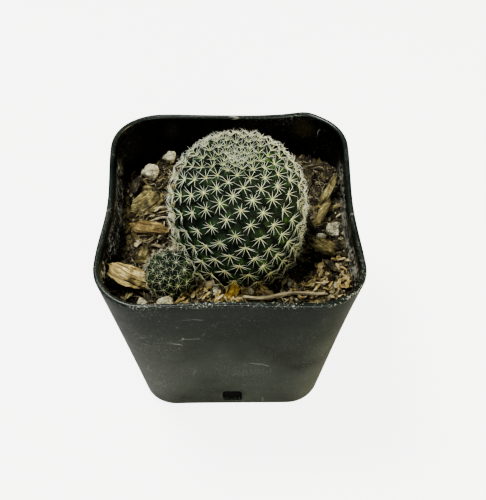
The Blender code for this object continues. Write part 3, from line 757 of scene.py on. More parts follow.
STEM_CENTRE = np.array([2.0 * MM, -4.1 * MM, SOIL_LEVEL + 14.2 * MM])
OFFSET_CENTRE = np.array([-14.4 * MM, -18.0 * MM, SOIL_LEVEL + 4.2 * MM])
main_form = Stem(
    centre=STEM_CENTRE, radius=15.3 * MM, rise=14.9 * MM, sink=21.0 * MM, dimple_depth=2.2 * MM,
    dimple_radius=4.6 * MM, lean=math.radians(8), lean_bearing=math.radians(90),
)
offset_form = Stem(
    centre=OFFSET_CENTRE, radius=5.7 * MM, rise=5.4 * MM, sink=6.4 * MM, dimple_depth=0.3 * MM,
    dimple_radius=1.0 * MM, lean=math.radians(36), lean_bearing=math.radians(250),
)
main_areoles = main_form.areoles(spacing=4.3 * MM, crown_spacing=1.35 * MM, last_theta=math.radians(144))
offset_areoles = offset_form.areoles(spacing=3.1 * MM, crown_spacing=1.0 * MM, last_theta=math.radians(125))
print("areoles:", len(main_areoles), "and", len(offset_areoles))


# %% Skin with tubercles
def stem_skin(form, areoles, rows, columns, tip, groove):
    """The skin as a grid, raised by `tip` at the areoles and sunk by `groove` between them."""
    theta = np.linspace(0.0, math.pi, rows + 1)[1:-1]
    phi = np.linspace(0.0, 2.0 * math.pi, columns, endpoint=False)
    grid_theta, grid_phi = np.meshgrid(theta, phi, indexing="ij")
    surface = form.skin(grid_theta, grid_phi).reshape(-1, 3)
    out = form.frame_at(grid_theta, grid_phi)[0].reshape(-1, 3)
    centres = form.skin(areoles[:, 0], areoles[:, 1])
    tree = kdtree.KDTree(len(centres))
    for i, centre in enumerate(centres):
        tree.insert(centre, i)
    tree.balance()
    near = np.array([[found[2] for found in tree.find_n(p, 2)] for p in surface])
    cone = 1.0 - (near[:, 0] / (0.5 * (near[:, 0] + near[:, 1]))) ** 1.5
    below = np.clip((near[:, 0] - 0.75 * (tip + groove) * 4.0) / (tip + groove), 0.0, 1.0)
    height = np.clip(cone * (1.0 - below), 0.0, 1.0)
    scale = np.clip(near.sum(axis=1) / near.sum(axis=1).max() * 2.2, 0.25, 1.0)
    raised = surface + out * ((tip + groove) * height * scale - groove * scale)[:, None]
    index = np.arange(len(surface)).reshape(len(theta), columns)
    turned = np.roll(index, -1, axis=1)
    quads = np.stack([index[:-1], index[1:], turned[1:], turned[:-1]], axis=-1).reshape(-1, 4).tolist()
    top = len(surface)
    ends = form.skin(np.array([0.0, math.pi]), np.zeros(2))
    faces = quads + [(top, index[0, i], turned[0, i]) for i in range(columns)]
    faces += [(top + 1, turned[-1, i], index[-1, i]) for i in range(columns)]
    return np.concatenate([raised, ends]), faces, np.concatenate([height, [0.5, 0.5]])


main_tips = main_form.skin(main_areoles[:, 0], main_areoles[:, 1])
print("main areoles lie from", main_tips.min(axis=0).round(4), "to", main_tips.max(axis=0).round(4))

# %% [markdown]
# ### Skin, wool and spines
#
# The skin is dark green and waxy, with faint yellow-green patches. Its colour is painted darker away from
# the tips of the tubercles, down to almost black in the grooves, as painted shade. Spines are horn: ivory,
# a little translucent, yellower towards the base. The wool is cream, here and there pinkish where it has
# aged.

# %% Stem materials


def cactus_skin():
    material, tree, shader = new_material("cactus_skin")
    tip = point_value(tree, "tip")
    flesh = mottle(tree, 230.0, (0.005, 0.012, 0.007), (0.013, 0.032, 0.014), (0.068, 0.135, 0.030), 0.51)
    # Painted shade: the colour goes down to near black in the grooves, away from the tips of the tubercles.
    tone = mix_color(tree, spread(tree, tip, 0.10, 0.75), (0.002, 0.004, 0.003, 1.0), flesh["Color"])
    freckles = use_group(tree, SPECKS, Scale=5200.0, Amount=0.55, Patch_Scale=400.0)["Mask"]
    tone = mix_color(tree, times(tree, freckles, 0.22), tone, (0.12, 0.17, 0.09, 1.0))
    tree.links.new(tone, shader.inputs["Base Color"])
    place = coords(tree)
    pores = noise_at(tree, place, 3800.0, 4.0, 0.6)
    roughness = between(tree, pores, 0.50, 0.78)
    tree.links.new(roughness, shader.inputs["Roughness"])
    shader.inputs["Specular IOR Level"].default_value = 0.15
    bump(tree, shader, pores, 0.05 * MM)
    return material


def spine_horn(name, base, tip_color):
    material, tree, shader = new_material(name)
    along = point_value(tree, "along")
    kind = point_value(tree, "kind")
    tone = mix_color(tree, spread(tree, along, 0.0, 0.55), (*base, 1.0), (*tip_color, 1.0))
    shade = between(tree, kind, 0.70, 1.0)
    place = coords(tree)
    height = part_of(tree, place, "Z")
    older = times(tree, spread(tree, height, SOIL_LEVEL + 18.0 * MM, SOIL_LEVEL + 2.0 * MM), 0.5)
    tone = mix_color(tree, older, tone, (0.50, 0.50, 0.22, 1.0))
    dimmed = mix_color(tree, shade, (0.20, 0.20, 0.13, 1.0), tone)
    tree.links.new(dimmed, shader.inputs["Base Color"])
    grain = noise_at(tree, place, 6000.0, 2.0)
    roughness = between(tree, grain, 0.34, 0.56)
    tree.links.new(roughness, shader.inputs["Roughness"])
    return material


def areole_wool():
    material, tree, shader = new_material("areole_wool")
    kind = point_value(tree, "kind")
    aged = spread(tree, kind, 0.90, 0.95)
    fresh = mix_color(tree, kind, (0.50, 0.54, 0.26, 1.0), (0.74, 0.74, 0.52, 1.0))
    tone = mix_color(tree, aged, fresh, (0.62, 0.34, 0.24, 1.0))
    tree.links.new(tone, shader.inputs["Base Color"])
    place = coords(tree)
    fluff = noise_at(tree, place, 9000.0, 3.0, 0.7)
    roughness = between(tree, fluff, 0.80, 1.0)
    tree.links.new(roughness, shader.inputs["Roughness"])
    bump(tree, shader, fluff, 0.12 * MM)
    return material


skin_material = cactus_skin()
main_horn = spine_horn("spine_horn", base=(0.58, 0.64, 0.26), tip_color=(0.76, 0.82, 0.72))
white_horn = spine_horn("offset_spine_horn", base=(0.62, 0.68, 0.50), tip_color=(0.78, 0.81, 0.74))
wool_material = areole_wool()
print("stem materials:", skin_material.name, main_horn.name, white_horn.name, wool_material.name)


# %% Build the skins
def build_skin(node, form, areoles, rows, columns, tip, groove):
    points, faces, tips = stem_skin(form, areoles, rows, columns, tip, groove)
    as_piece(node + "_skin", points, faces, skin_material, [node], {"tip": tips})


build_skin("main_stem", main_form, main_areoles, rows=230, columns=380, tip=1.0 * MM, groove=1.0 * MM)
build_skin("offset_stem", offset_form, offset_areoles, rows=110, columns=180, tip=0.35 * MM, groove=0.40 * MM)


# %% Stars of spines
def stars(form, areoles, lift, length, radius, fewest, most):
    """Lines, half widths and random kinds of all the spines of one stem."""
    centres = form.skin(areoles[:, 0], areoles[:, 1])
    out, down, around = form.frame_at(areoles[:, 0], areoles[:, 1])
    t = np.linspace(0.0, 1.0, 7)
    lines, widths, kinds = [], [], []
    for i, centre in enumerate(centres):
        theta = areoles[i, 0]
        crown = 1.0 - min(1.0, theta / math.radians(48))
        count = int(dice.integers(fewest, most + 1)) - (2 if crown > 0.25 else 0)
        start_angle = dice.uniform(0.0, 2.0 * math.pi)
        older = min(1.0, max(0.0, (theta - math.radians(80)) / math.radians(35)))
        reach = length * dice.uniform(0.88, 1.10) * (1.0 + 0.25 * older)
        for k in range(count):
            angle = start_angle + 2.0 * math.pi * (k + dice.uniform(-0.22, 0.22)) / count
            downward = math.cos(angle)
            radial = down[i] * downward + around[i] * math.sin(angle)
            elevation = math.radians(21.0 + 26.0 * crown - 5.0 * downward + dice.normal() * 7.0)
            own = reach * (0.86 + 0.16 * abs(math.sin(angle)) + 0.10 * downward) * dice.uniform(0.86, 1.08)
            way = radial * math.cos(elevation) + out[i] * math.sin(elevation)
            bend = out[i] * 0.10 + np.cross(way, out[i]) * dice.normal() * 0.05
            root = centre + out[i] * lift + radial * radius * 1.6
            line = root + own * (t[:, None] * way + (t * (1.0 - t))[:, None] * bend * 1.4)
            lines.append(line)
            thick = radius * (1.0 - 0.34 * crown) * dice.uniform(0.85, 1.15)
            widths.append(thick * np.clip(1.0 - t, 0.0, 1.0) ** 0.62 + 0.12 * radius)
            kinds.append(dice.uniform())
    return np.array(lines), np.array(widths), np.array(kinds), t


def spine_piece(name, form, areoles, material, **sizes):
    lines, widths, kinds, t = stars(form, areoles, **sizes)
    across = unit(dice.normal(size=(len(lines), 3)))
    points, faces = sweep(lines, across, widths, widths, 5)
    along = np.broadcast_to(t[None, :, None], points.shape[:3]).ravel()
    kind = np.broadcast_to(kinds[:, None, None], points.shape[:3]).ravel()
    values = {"along": along, "kind": kind}
    return as_piece(name, points.reshape(-1, 3), faces, material, (), values)


spine_piece(
    "main_spines", main_form, main_areoles, main_horn,
    lift=1.02 * MM, length=2.40 * MM, radius=0.064 * MM, fewest=9, most=12,
)
spine_piece(
    "offset_spines", offset_form, offset_areoles, white_horn,
    lift=0.36 * MM, length=1.90 * MM, radius=0.032 * MM, fewest=8, most=10,
)


# %% Wool on the areoles
def wool_piece(name, form, areoles, lift, size):
    """A low tuft at each areole, smaller at the crown where the areoles are young."""
    centres = form.skin(areoles[:, 0], areoles[:, 1])
    out, down, around = form.frame_at(areoles[:, 0], areoles[:, 1])
    axes = np.stack([around, down, out], axis=1)
    young = np.clip(areoles[:, 0] / math.radians(40), 0.55, 1.0)[:, None]
    sizes = size * young * dice.uniform(0.8, 1.15, (len(centres), 3)) * [1.0, 1.15, 0.75]
    points, faces = copies(lump(2), centres + out * lift, axes, sizes, 0.10)
    kind = np.repeat(dice.uniform(size=len(centres)), points.shape[1])
    return as_piece(name, points.reshape(-1, 3), faces, wool_material, (), {"kind": kind})


wool_piece("main_wool", main_form, main_areoles, lift=1.00 * MM, size=0.25 * MM)
wool_piece("offset_wool", offset_form, offset_areoles, lift=0.34 * MM, size=0.15 * MM)

# %% [markdown]
# ## The soil
#
# A cactus mix is mostly dark peat and fine bark. Its surface is never flat: it is lower at the back,
# creeps up the walls, and is lumpy at every size from a thumb to a grain. A single grid of points makes
# it, raised by noise at four sizes. The grid runs on down along the inside of the walls and under the
# base, so that the mix also shows dark behind the drain holes.

# %% The soil's surface
SOIL_SLOPE = 0.045
SOIL_EDGE_RISE = 1.3 * MM
TRENCH_DEPTH = 2.6 * MM
BACK_DEPTH = 3.4 * MM
HOLLOWS = (  # middle x and y, radius, depth, in millimetres
    (-22.5, -27.5, 6.0, 4.0),
    (19.5, -10.5, 6.0, 3.6),
    (-27.0, 26.0, 6.0, 2.0),
)


def hollow_share(x, y):
    """How deep each place lies in a hollow: 1 in the middle of one, 0 on open ground."""
    share = np.zeros(np.shape(x))
    for middle_x, middle_y, radius, _ in HOLLOWS:
        far = (x - middle_x * MM) ** 2 + (y - middle_y * MM) ** 2
        share = np.maximum(share, np.exp(-far / (radius * MM) ** 2))
    return share


def soil_height(x, y):
    """The smooth lie of the soil, without its lumps."""
    edge = np.maximum(np.abs(x), np.abs(y)) / (0.5 * RIM_WIDTH)
    broad = perlin(np.stack([x, y, np.zeros_like(x)], axis=-1), 160.0, [3.1, 7.7, 0.0]).reshape(np.shape(x))
    height = SOIL_LEVEL - SOIL_SLOPE * y + SOIL_EDGE_RISE * edge**4 + 0.8 * MM * broad
    height = height - TRENCH_DEPTH * np.clip((-x - 23.5 * MM) / (4.0 * MM), 0.0, 1.0)
    height = height - BACK_DEPTH * np.clip((y - 20.0 * MM) / (7.0 * MM), 0.0, 1.0) ** 1.5
    for middle_x, middle_y, radius, depth in HOLLOWS:
        far = (x - middle_x * MM) ** 2 + (y - middle_y * MM) ** 2
        height = height - depth * MM * np.exp(-far / (radius * MM) ** 2)
    return height


def soil_top(x, y):
    """The soil with its lumps and grains."""
    flat = np.stack([x, y, np.zeros_like(x)], axis=-1)
    lumps = 0.9 * perlin(flat, 420.0, [0.0, 0.0, 5.0]) + 0.55 * np.abs(perlin(flat, 900.0, [0.0, 0.0, 9.0]))
    grains = 0.30 * perlin(flat, 2200.0, [0.0, 0.0, 2.0])
    return soil_height(x, y) + ((lumps + grains).reshape(np.shape(x)) - 0.25) * MM


SOIL_RINGS = 84
wall_here = ring(SOIL_LEVEL, WALL - 0.15 * MM, 2)[:, :2]
shares = np.linspace(1.0, 0.012, SOIL_RINGS)
surface_xy = shares[:, None, None] * wall_here[None]
surface_z = soil_top(surface_xy[..., 0], surface_xy[..., 1])
soil_rings = []
for height in (FLOOR_TOP + 0.2 * MM, 6.0 * MM, 15.0 * MM, 30.0 * MM, SOIL_LEVEL - 6.0 * MM):
    outline = pot_outline(height, WALL + 0.05 * MM, 2)
    soil_rings.append(np.column_stack([outline, np.full(len(outline), height)]))
soil_rings += [np.dstack([surface_xy, surface_z])[i] for i in range(SOIL_RINGS)]
print("soil surface, mm:", round(surface_z.min() / MM, 1), "to", round(surface_z.max() / MM, 1))


# %% Keeping things inside the walls
WALL_HEIGHTS = SOIL_LEVEL - 10.0 * MM, RIM_HEIGHT


def reach_of_wall(turn, height, inset):
    """How far from the middle the pot's wall stands in each direction, at one height."""
    outline = ring(height, inset)
    bearing, away = np.arctan2(outline[:, 1], outline[:, 0]), np.hypot(outline[:, 0], outline[:, 1])
    return np.interp(turn, bearing, away, period=2.0 * np.pi)


def pressed_inside(points, inset=WALL - 0.2 * MM):
    """The points, with those outside the wall's inner face pressed back to it."""
    shape = np.shape(points)
    flat = np.reshape(points, (-1, 3))
    turn = np.arctan2(flat[:, 1], flat[:, 0])
    low, high = (reach_of_wall(turn, height, inset) for height in WALL_HEIGHTS)
    share = (flat[:, 2] - WALL_HEIGHTS[0]) / (WALL_HEIGHTS[1] - WALL_HEIGHTS[0])
    away = np.maximum(np.hypot(flat[:, 0], flat[:, 1]), 1e-9)
    scale = np.minimum(1.0, (low + (high - low) * share) / away)
    return (flat * np.column_stack([scale, scale, np.ones(len(flat))])).reshape(shape)


walls_mm = reach_of_wall(np.radians([-90.0, 0.0]), SOIL_LEVEL, WALL) / MM
print("inner face at the soil, mm: front", walls_mm[0].round(1), "right", walls_mm[1].round(1))

# %% [markdown]
# ### Materials of the mix
#
# Peat is brown-black and dull. Bark runs from straw yellow through orange to dark brown, in fibres that
# follow the grain, with dark cracks: the big slab is the palest, the strip at the left is rusty, and the
# chip at the front is amber. Perlite is a white foamed glass, matt, with dirt in its pits. In one hollow
# at the right of the stem the peat is painted almost black, as the stem's painted shadow, and lower down,
# behind the drain holes, it is painted near black as painted shade.

# %% Materials of the mix
# The middle of the stem's painted shadow on the peat, at the right of the stem.
SHADOW_SPOT = 19.0 * MM, -11.0 * MM, SOIL_LEVEL - 2.0 * MM


def peat():
    material, tree, shader = new_material("peat")
    earth = mottle(tree, 900.0, (0.004, 0.003, 0.002), (0.016, 0.011, 0.007), (0.070, 0.045, 0.020), 0.47)
    pale = use_group(tree, SPECKS, Scale=3200.0, Amount=0.55, Patch_Scale=260.0)["Mask"]
    tone = mix_color(tree, times(tree, pale, 0.7), earth["Color"], (0.24, 0.20, 0.12, 1.0))
    place = coords(tree)
    height = part_of(tree, place, "Z")
    # Painted shade: the peat is painted near black deep down, behind the drain holes, and in the stem's
    # shadow at the right.
    painted_shade = spread(tree, height, SOIL_LEVEL - 8.0 * MM, SOIL_LEVEL - 14.0 * MM)
    shadow_spot_far = vector_math(tree, "DISTANCE", place, SHADOW_SPOT)["Value"]
    painted_shade = larger(tree, painted_shade, times(tree, spread(tree, shadow_spot_far, 9.0 * MM, 4.0 * MM), 0.85))
    tone = mix_color(tree, painted_shade, tone, (0.0015, 0.0012, 0.001, 1.0))
    tree.links.new(tone, shader.inputs["Base Color"])
    crumb = noise_at(tree, place, 2600.0, 6.0, 0.7)
    roughness = between(tree, crumb, 0.80, 1.0)
    tree.links.new(roughness, shader.inputs["Roughness"])
    bump(tree, shader, crumb, 0.5 * MM)
    return material


def bark(name, dark, middle, light, scale=520.0):
    """Bark and dry wood: fibres along the piece, cracks between them, and a tone of its own."""
    material, tree, shader = new_material(name)
    wood = mottle(tree, scale, dark, middle, light, 0.52)
    fibre = use_group(tree, FIBRES, Scale=3000.0, Along=(0.05, 1.0, 1.0), Softness=0.1)
    lines = spread(tree, fibre["Lines"], 0.36, 0.60)
    shade = mix_color(tree, lines, (*[0.30 * c for c in middle], 1.0), wood["Color"])
    shade = mix_color(tree, times(tree, fibre["Cracks"], 0.85), shade, (0.006, 0.004, 0.002, 1.0))
    kind = point_value(tree, "kind")
    dark_kind = times(tree, spread(tree, kind, 0.55, 1.0), 0.75)
    shade = mix_color(tree, dark_kind, shade, (0.030, 0.017, 0.008, 1.0))
    pale_kind = times(tree, spread(tree, kind, 0.16, 0.0), 0.7)
    shade = mix_color(tree, pale_kind, shade, (0.52, 0.45, 0.29, 1.0))
    tree.links.new(shade, shader.inputs["Base Color"])
    roughness = between(tree, fibre["Lines"], 0.62, 0.95)
    tree.links.new(roughness, shader.inputs["Roughness"])
    relief = minus(tree, fibre["Lines"], times(tree, fibre["Cracks"], 0.6))
    bump(tree, shader, relief, 0.35 * MM)
    return material


def perlite_foam():
    material, tree, shader = new_material("perlite_foam")
    place = coords(tree)
    cells = cells_at(tree, place, 2600.0)
    foam = mottle(tree, 700.0, (0.19, 0.18, 0.12), (0.42, 0.42, 0.30), (0.72, 0.73, 0.57), 0.50)
    tone = mix_color(tree, spread(tree, cells, 0.62, 0.95), foam["Color"], (0.20, 0.17, 0.12, 1.0))
    dirt = use_group(tree, SPECKS, Scale=2200.0, Amount=0.45, Patch_Scale=500.0)["Mask"]
    tone = mix_color(tree, times(tree, dirt, 0.75), tone, (0.07, 0.05, 0.03, 1.0))
    tree.links.new(tone, shader.inputs["Base Color"])
    roughness = between(tree, cells, 0.75, 0.98)
    tree.links.new(roughness, shader.inputs["Roughness"])
    bump(tree, shader, times(tree, cells, -1.0), 0.20 * MM)
    return material


peat_material = peat()
golden_bark = bark("golden_bark", (0.042, 0.033, 0.012), (0.245, 0.206, 0.080), (0.56, 0.52, 0.27))
brown_bark = bark("brown_bark", (0.007, 0.006, 0.004), (0.056, 0.046, 0.020), (0.29, 0.265, 0.145))
rusty_bark = bark("rusty_bark", (0.040, 0.025, 0.009), (0.265, 0.190, 0.066), (0.54, 0.46, 0.22))
amber_bark = bark("amber_bark", (0.20, 0.12, 0.018), (0.66, 0.49, 0.12), (0.85, 0.74, 0.33))
slab_bark = bark("slab_bark", (0.060, 0.042, 0.014), (0.56, 0.44, 0.18), (0.80, 0.74, 0.48))
dry_straw = bark("dry_straw", (0.09, 0.079, 0.042), (0.40, 0.36, 0.22), (0.70, 0.67, 0.50), 900.0)
perlite_material = perlite_foam()
woods = golden_bark, brown_bark, rusty_bark, amber_bark, slab_bark, dry_straw
print("materials of the mix:", peat_material.name, perlite_material.name, *[wood.name for wood in woods])

# %% Build the soil
soil = loft(soil_rings, "potting_mix", peat_material)
settle(soil, ["soil"])

# %% [markdown]
# ## Larger bits: bark, twig, straw and perlite
#
# These lie where the frame has them. Each solid is first remeshed into an even skin of small quads, and
# then carved by noise. Wood is carved in a space squeezed along its grain, which turns round noise into
# long ridges, and its two ends are pulled out and pushed in fibre by fibre, so that they look torn.
# Perlite is carved by round noise into a lumpy, pitted grain.

# %% Remesh and carve


def even_skin(node, voxel):
    """A copy of a CAD node's shape as small even quads."""
    fine = bpy.data.objects.new("even_skin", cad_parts[node].data.copy())
    bpy.context.scene.collection.objects.link(fine)
    remesh = fine.modifiers.new("even", "REMESH")
    remesh.mode = "VOXEL"
    remesh.voxel_size = voxel
    apply_modifiers(fine)
    mesh = fine.data
    points = np.array([v.co[:] for v in mesh.vertices])
    normals = np.array([v.normal[:] for v in mesh.vertices])
    faces = [tuple(f.vertices) for f in mesh.polygons]
    bpy.data.objects.remove(fine)
    return points, normals, faces


def grain_axes(points):
    """Rows: the piece's long, broad and thin directions, each with its largest part positive."""
    spread_of = np.cov((points - points.mean(axis=0)).T)
    axes = np.linalg.eigh(spread_of)[1].T[::-1]
    return np.array([a if a[np.argmax(np.abs(a))] > 0 else -a for a in axes])


def carved_wood(node, material, slot, voxel, ridge, tear, kind, slim=1.0):
    """Wood with long ridges and torn ends; `slim` thins it across the grain."""
    points, normals, faces = even_skin(node, voxel)
    axes = grain_axes(points)
    middle = points.mean(axis=0)
    local = (points - middle) @ axes.T * [1.0, slim, slim]
    points = middle + local @ axes
    shift = np.array([len(node) * 1.7, len(points) * 0.013, 4.0])
    squeezed = local * [0.16, 1.0, 1.0]
    ridges = perlin(squeezed, 1500.0, shift) + 0.5 * perlin(squeezed, 3600.0, shift)
    layers = np.abs(perlin(local * [0.10, 0.35, 1.0], 1100.0, shift))
    half = np.abs(local[:, 0]).max()
    end = np.clip((np.abs(local[:, 0]) / half - 0.55) / 0.45, 0.0, 1.0) ** 1.5
    torn = perlin(local * [0.0, 1.0, 1.0], 1900.0, shift + 3.0) - 0.15
    points = points + normals * (ridge * (ridges - layers))[:, None]
    points = points + axes[0] * (np.sign(local[:, 0]) * end * torn * tear)[:, None]
    points = pressed_inside(points)
    name = node + "_fine"
    piece = as_piece(name, points, faces, material, [node], {"kind": np.full(len(points), kind)})
    grain_uv(piece.data, local)
    return piece


def grain_uv(mesh, local):
    """A UV map in metres: along the grain, and across it over the broad and thin sides."""
    layer = mesh.uv_layers.new(name="grain")
    corners = np.array([loop.vertex_index for loop in mesh.loops])
    flat = np.stack([local[:, 0], local[:, 1] + 1.3 * local[:, 2]], axis=1)
    layer.data.foreach_set("uv", flat[corners].ravel())


def carved_perlite(node, voxel):
    points, normals, faces = even_skin(node, voxel)
    shift = np.array([len(node) * 2.3, len(points) * 0.011, 1.0])
    lumps = 0.65 * perlin(points, 520.0, shift) + 0.40 * (0.3 - np.abs(perlin(points, 1400.0, shift)))
    pits = 0.14 * perlin(points, 3400.0, shift)
    points = pressed_inside(points + normals * ((lumps + pits) * MM)[:, None])
    return as_piece(node + "_fine", points, faces, perlite_material, [node])


bits = [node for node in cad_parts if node.startswith(("bark_", "perlite_", "twig_", "straw_"))]
print("bits to carve:", len(bits))

# %% Carve every larger bit
WOOD_OF = {
    "bark_chip_front": amber_bark,
    "bark_slab_front_left": slab_bark,
    "bark_strip_left": rusty_bark,
    "bark_chip_back_left_wall": brown_bark,
    "bark_chip_back": brown_bark,
    "bark_slab_back_right": brown_bark,
    "bark_sliver_right": brown_bark,
    "bark_chip_front_left": brown_bark,
}
bark_cut = {"voxel": 0.17 * MM, "ridge": 0.34 * MM, "tear": 1.5 * MM, "kind": 0.30}
for node in sorted(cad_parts):
    if node.startswith("bark_"):
        carved_wood(node, WOOD_OF.get(node, golden_bark), "bark", **bark_cut)
    elif node.startswith("perlite_"):
        carved_perlite(node, voxel=0.16 * MM)
twig_cut = {"voxel": 0.15 * MM, "ridge": 0.12 * MM, "tear": 0.5 * MM, "kind": 0.08, "slim": 0.72}
carved_wood("twig_front", dry_straw, "twig_wood", **twig_cut)
straw_cut = {"voxel": 0.13 * MM, "ridge": 0.10 * MM, "tear": 0.4 * MM, "kind": 0.12}
carved_wood("straw_left", dry_straw, "twig_wood", **straw_cut)

# %% [markdown]
# ## Loose litter
#
# The top of the mix is a crowd of small things: dark crumbs, splinters and flakes of bark, fibres, and
# pale grit. They are thrown onto the soil at random places with a fixed seed, keeping clear of the
# stems, and each is turned and tilted at random. Near the back left wall lies mostly dark grit. At the
# right and front the splinters are finer and paler, with short pale chips among them, and at the left
# they are larger and browner.

# %% Throwing things on the soil


def throw(count, clear=0.0):
    """Random places on the soil outside the stems: x and y."""
    wanted = np.empty((0, 2))
    reach = 0.5 * RIM_WIDTH - WALL - 0.8 * MM
    while len(wanted) < count:
        xy = dice.uniform(-reach, reach, (4 * count, 2))
        share = SOIL_LEVEL / RIM_HEIGHT
        half = 0.5 * (BASE_WIDTH + (RIM_WIDTH - BASE_WIDTH) * share) - WALL
        corner = np.maximum(np.abs(xy) - (half - RIM_CORNER), 0.0)
        inside = np.hypot(corner[:, 0], corner[:, 1]) < RIM_CORNER - 0.6 * MM
        outside_main = np.hypot(*(xy - STEM_CENTRE[:2]).T) > 13.4 * MM + clear
        outside_offset = np.hypot(*(xy - OFFSET_CENTRE[:2]).T) > 4.9 * MM + clear
        open_ground = dice.uniform(size=len(xy)) > 0.9 * hollow_share(xy[:, 0], xy[:, 1])
        wanted = np.concatenate([wanted, xy[inside & outside_main & outside_offset & open_ground]])
    return wanted[:count]


def turned_axes(count, tilt):
    """Rows: random level directions, tilted by about `tilt` radians, with their sides and tops."""
    heading = dice.uniform(0.0, 2.0 * np.pi, count)
    rise = dice.normal(0.0, tilt, count)
    roll = dice.normal(0.0, tilt * 1.4, count)
    along = np.stack([np.cos(heading) * np.cos(rise), np.sin(heading) * np.cos(rise), np.sin(rise)], axis=1)
    level = np.stack([-np.sin(heading), np.cos(heading), np.zeros(count)], axis=1)
    top = np.cross(along, level)
    side = level * np.cos(roll)[:, None] + top * np.sin(roll)[:, None]
    return np.stack([along, side, np.cross(along, side)], axis=1)


def splinters(name, xy, material, length, width, thickness, tilt, lift, darkest=1.0):
    """Torn flakes of wood with jagged ends, lying on the soil, none darker than `darkest`."""
    count, steps, sides = len(xy), 7, 8
    axes = turned_axes(count, tilt)
    long = length * dice.uniform(0.55, 1.35, count)
    t = np.linspace(-0.5, 0.5, steps)
    centre = np.column_stack([xy, soil_top(xy[:, 0], xy[:, 1]) + lift * dice.uniform(0.2, 1.0, count)])
    lines = centre[:, None, :] + (long[:, None] * t)[..., None] * axes[:, None, 0]
    wander = np.cumsum(dice.normal(size=(count, steps)), axis=1) * 0.05 * width
    lines = lines + wander[..., None] * axes[:, None, 1]
    taper = np.clip(1.0 - (2.0 * np.abs(t)) ** 3 * 0.8, 0.1, 1.0)
    wide = 0.5 * width * dice.uniform(0.6, 1.4, (count, 1)) * taper * dice.uniform(0.75, 1.2, (count, steps))
    half = 0.5 * thickness
    thick = half * dice.uniform(0.6, 1.4, (count, 1)) * taper * dice.uniform(0.8, 1.2, (count, steps))
    points, faces = sweep(lines, axes[:, 1], wide, thick, sides)
    jag = dice.normal(size=(count, 1, sides, 1)) * (np.abs(t) > 0.3)[None, :, None, None]
    points = points + jag * (0.10 * long[:, None, None, None]) * axes[:, None, None, 0]
    points = pressed_inside(points + dice.normal(size=points.shape) * 0.10 * thickness)
    kind = np.repeat(dice.uniform(0.0, darkest, count), steps * sides)
    piece = as_piece(name, points.reshape(-1, 3), faces, material, (), {"kind": kind}, smooth=False)
    local = np.einsum("nskj,nij->nski", points - centre[:, None, None], axes)
    local = local + kind.reshape(count, steps, sides, 1) * 0.05
    grain_uv(piece.data, local.reshape(-1, 3))
    return piece


def crumbs(name, xy, material, size, dents, lift):
    """Small dented lumps; `lift` is the share of their height at which they lie."""
    count = len(xy)
    axes = turned_axes(count, 0.5)
    sizes = size * 0.5 * dice.uniform(0.45, 1.5, (count, 1)) * dice.uniform(0.6, 1.3, (count, 3))
    centre = np.column_stack([xy, soil_top(xy[:, 0], xy[:, 1]) + lift * sizes[:, 2]])
    points, faces = copies(lump(1), centre, axes, sizes, dents)
    points = pressed_inside(points)
    kind = np.repeat(dice.uniform(0.0, 1.0, count), points.shape[1])
    piece = as_piece(name, points.reshape(-1, 3), faces, material, (), {"kind": kind}, smooth=False)
    grain_uv(piece.data, points.reshape(-1, 3))
    return piece


def near(xy, x, y, reach):
    """How close each place is to a spot given in millimetres: 1 there, 0 far away."""
    return np.exp(-(((xy[:, 0] - x * MM) ** 2 + (xy[:, 1] - y * MM) ** 2) / (reach * MM) ** 2))


def keep(xy, share):
    """A random part of the places, each kept with its own chance."""
    return xy[dice.uniform(size=len(xy)) < share]


front_soil, back_soil = soil_height(np.zeros(2), np.array([-25.0, 25.0]) * MM) / MM
print("soil at the front and back, mm:", front_soil.round(1), back_soil.round(1))

# %% Throw them
places = throw(900, 0.6 * MM)
back_left = near(places, -24, 24, 13)
splinters(
    "bark_flakes", keep(places, 0.75 - 0.7 * back_left), brown_bark,
    length=4.2 * MM, width=1.7 * MM, thickness=0.55 * MM, tilt=0.26, lift=0.8 * MM,
)
places = throw(1000, 0.6 * MM)
left = near(places, -22, 2, 16)
front = near(places, -2, -27, 9)
splinters(
    "golden_flakes", keep(places, 0.22 + 0.20 * left + 0.7 * front), golden_bark,
    length=4.0 * MM, width=1.3 * MM, thickness=0.45 * MM, tilt=0.28, lift=1.1 * MM,
)
places = throw(3000, 0.5 * MM)
pale_spots = 1.2 * near(places, -1, -27.5, 8) + 0.7 * near(places, 24, -20, 8)
splinters(
    "front_chips", keep(places, pale_spots), slab_bark,
    length=2.0 * MM, width=1.0 * MM, thickness=0.5 * MM, tilt=0.30, lift=1.8 * MM, darkest=0.55,
)
places = throw(4000, 0.4 * MM)
right = near(places, 24, -18, 19) + 1.3 * near(places, 3, -27, 10)
splinters(
    "fine_splinters", keep(places, 0.25 + 0.6 * right), dry_straw,
    length=1.7 * MM, width=0.55 * MM, thickness=0.30 * MM, tilt=0.40, lift=0.8 * MM,
)
crumbs("dark_crumbs", throw(5200), peat_material, size=0.85 * MM, dents=0.16, lift=0.5)
crumbs("brown_crumbs", throw(1900), brown_bark, size=0.95 * MM, dents=0.16, lift=0.8)
places = throw(1500)
by_left_wall = np.clip((-places[:, 0] - 24.0 * MM) / (3.0 * MM), 0.0, 1.0)
pale_share = 0.15 + 0.5 * near(places, -21, 22, 7) + 0.8 * near(places, 22, -22, 14)
pale_share = pale_share + 0.5 * near(places, 2, -27, 9) + 0.8 * by_left_wall
pale_places = keep(places, pale_share)
crumbs("pale_grit", pale_places, perlite_material, size=0.55 * MM, dents=0.14, lift=1.2)


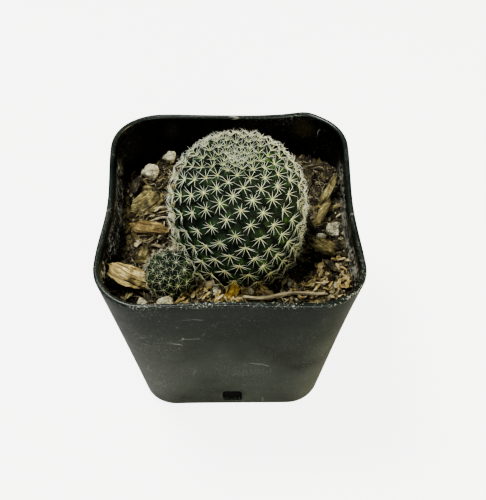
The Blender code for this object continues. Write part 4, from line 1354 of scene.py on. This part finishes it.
# %% Fibres
def fibres(name, xy, length, radius, material):
    """Fine roots and plant hairs: thin curved rods that lie loosely on the soil."""
    count, steps = len(xy), 9
    t = np.linspace(0.0, 1.0, steps)
    heading = dice.uniform(0.0, 2.0 * np.pi, (count, 1))
    turning = np.cumsum(dice.normal(0.0, 0.28, (count, steps)), axis=1)
    step = (length * dice.uniform(0.5, 1.4, (count, 1)) / (steps - 1)) * np.ones((1, steps))
    x = xy[:, :1] + np.cumsum(step * np.cos(heading + turning), axis=1)
    y = xy[:, 1:] + np.cumsum(step * np.sin(heading + turning), axis=1)
    limit = 0.5 * RIM_WIDTH - 5.0 * MM
    inside = (np.abs(x).max(axis=1) < limit) & (np.abs(y).max(axis=1) < limit)
    clear = np.hypot(x - STEM_CENTRE[0], y - STEM_CENTRE[1]).min(axis=1) > 13.5 * MM
    x, y = x[inside & clear], y[inside & clear]
    z = soil_height(x, y) + (0.7 + 0.5 * np.sin(t * np.pi)) * MM + dice.uniform(0, 0.6, (len(x), 1)) * MM
    lines = np.stack([x, y, z], axis=-1)
    width = radius * np.clip(1.0 - t**2, 0.12, 1.0) * dice.uniform(0.7, 1.4, (len(x), 1))
    points, faces = sweep(lines, np.tile([0.0, 0.0, 1.0], (len(x), 1)), width, width, 5)
    kind = np.repeat(dice.uniform(size=len(x)), steps * 5)
    piece = as_piece(name, points.reshape(-1, 3), faces, material, (), {"kind": kind})
    grain_uv(piece.data, points.reshape(-1, 3))
    return piece


fibres("loose_fibres", throw(420, 0.6 * MM), length=5.0 * MM, radius=0.10 * MM, material=dry_straw)

# %% [markdown]
# ## Roots
#
# The roots are inside the soil and never show, but they belong to the plant, so they keep the frame's
# shape and get a finish of their own: pale brown, dull, with darker rings.

# %% Root finish


def root_bark():
    material, tree, shader = new_material("root_bark")
    tones = mottle(tree, 500.0, (0.10, 0.06, 0.03), (0.26, 0.18, 0.10), (0.42, 0.33, 0.21), 0.5)
    tree.links.new(tones["Color"], shader.inputs["Base Color"])
    place = coords(tree)
    rings = noise_at(tree, place, 1400.0, 5.0)
    roughness = between(tree, rings, 0.75, 0.98)
    tree.links.new(roughness, shader.inputs["Roughness"])
    bump(tree, shader, rings, 0.2 * MM)
    return material


root_material = root_bark()
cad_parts["roots"].material_slots[0].material = root_material
print("the roots wear", root_material.name)
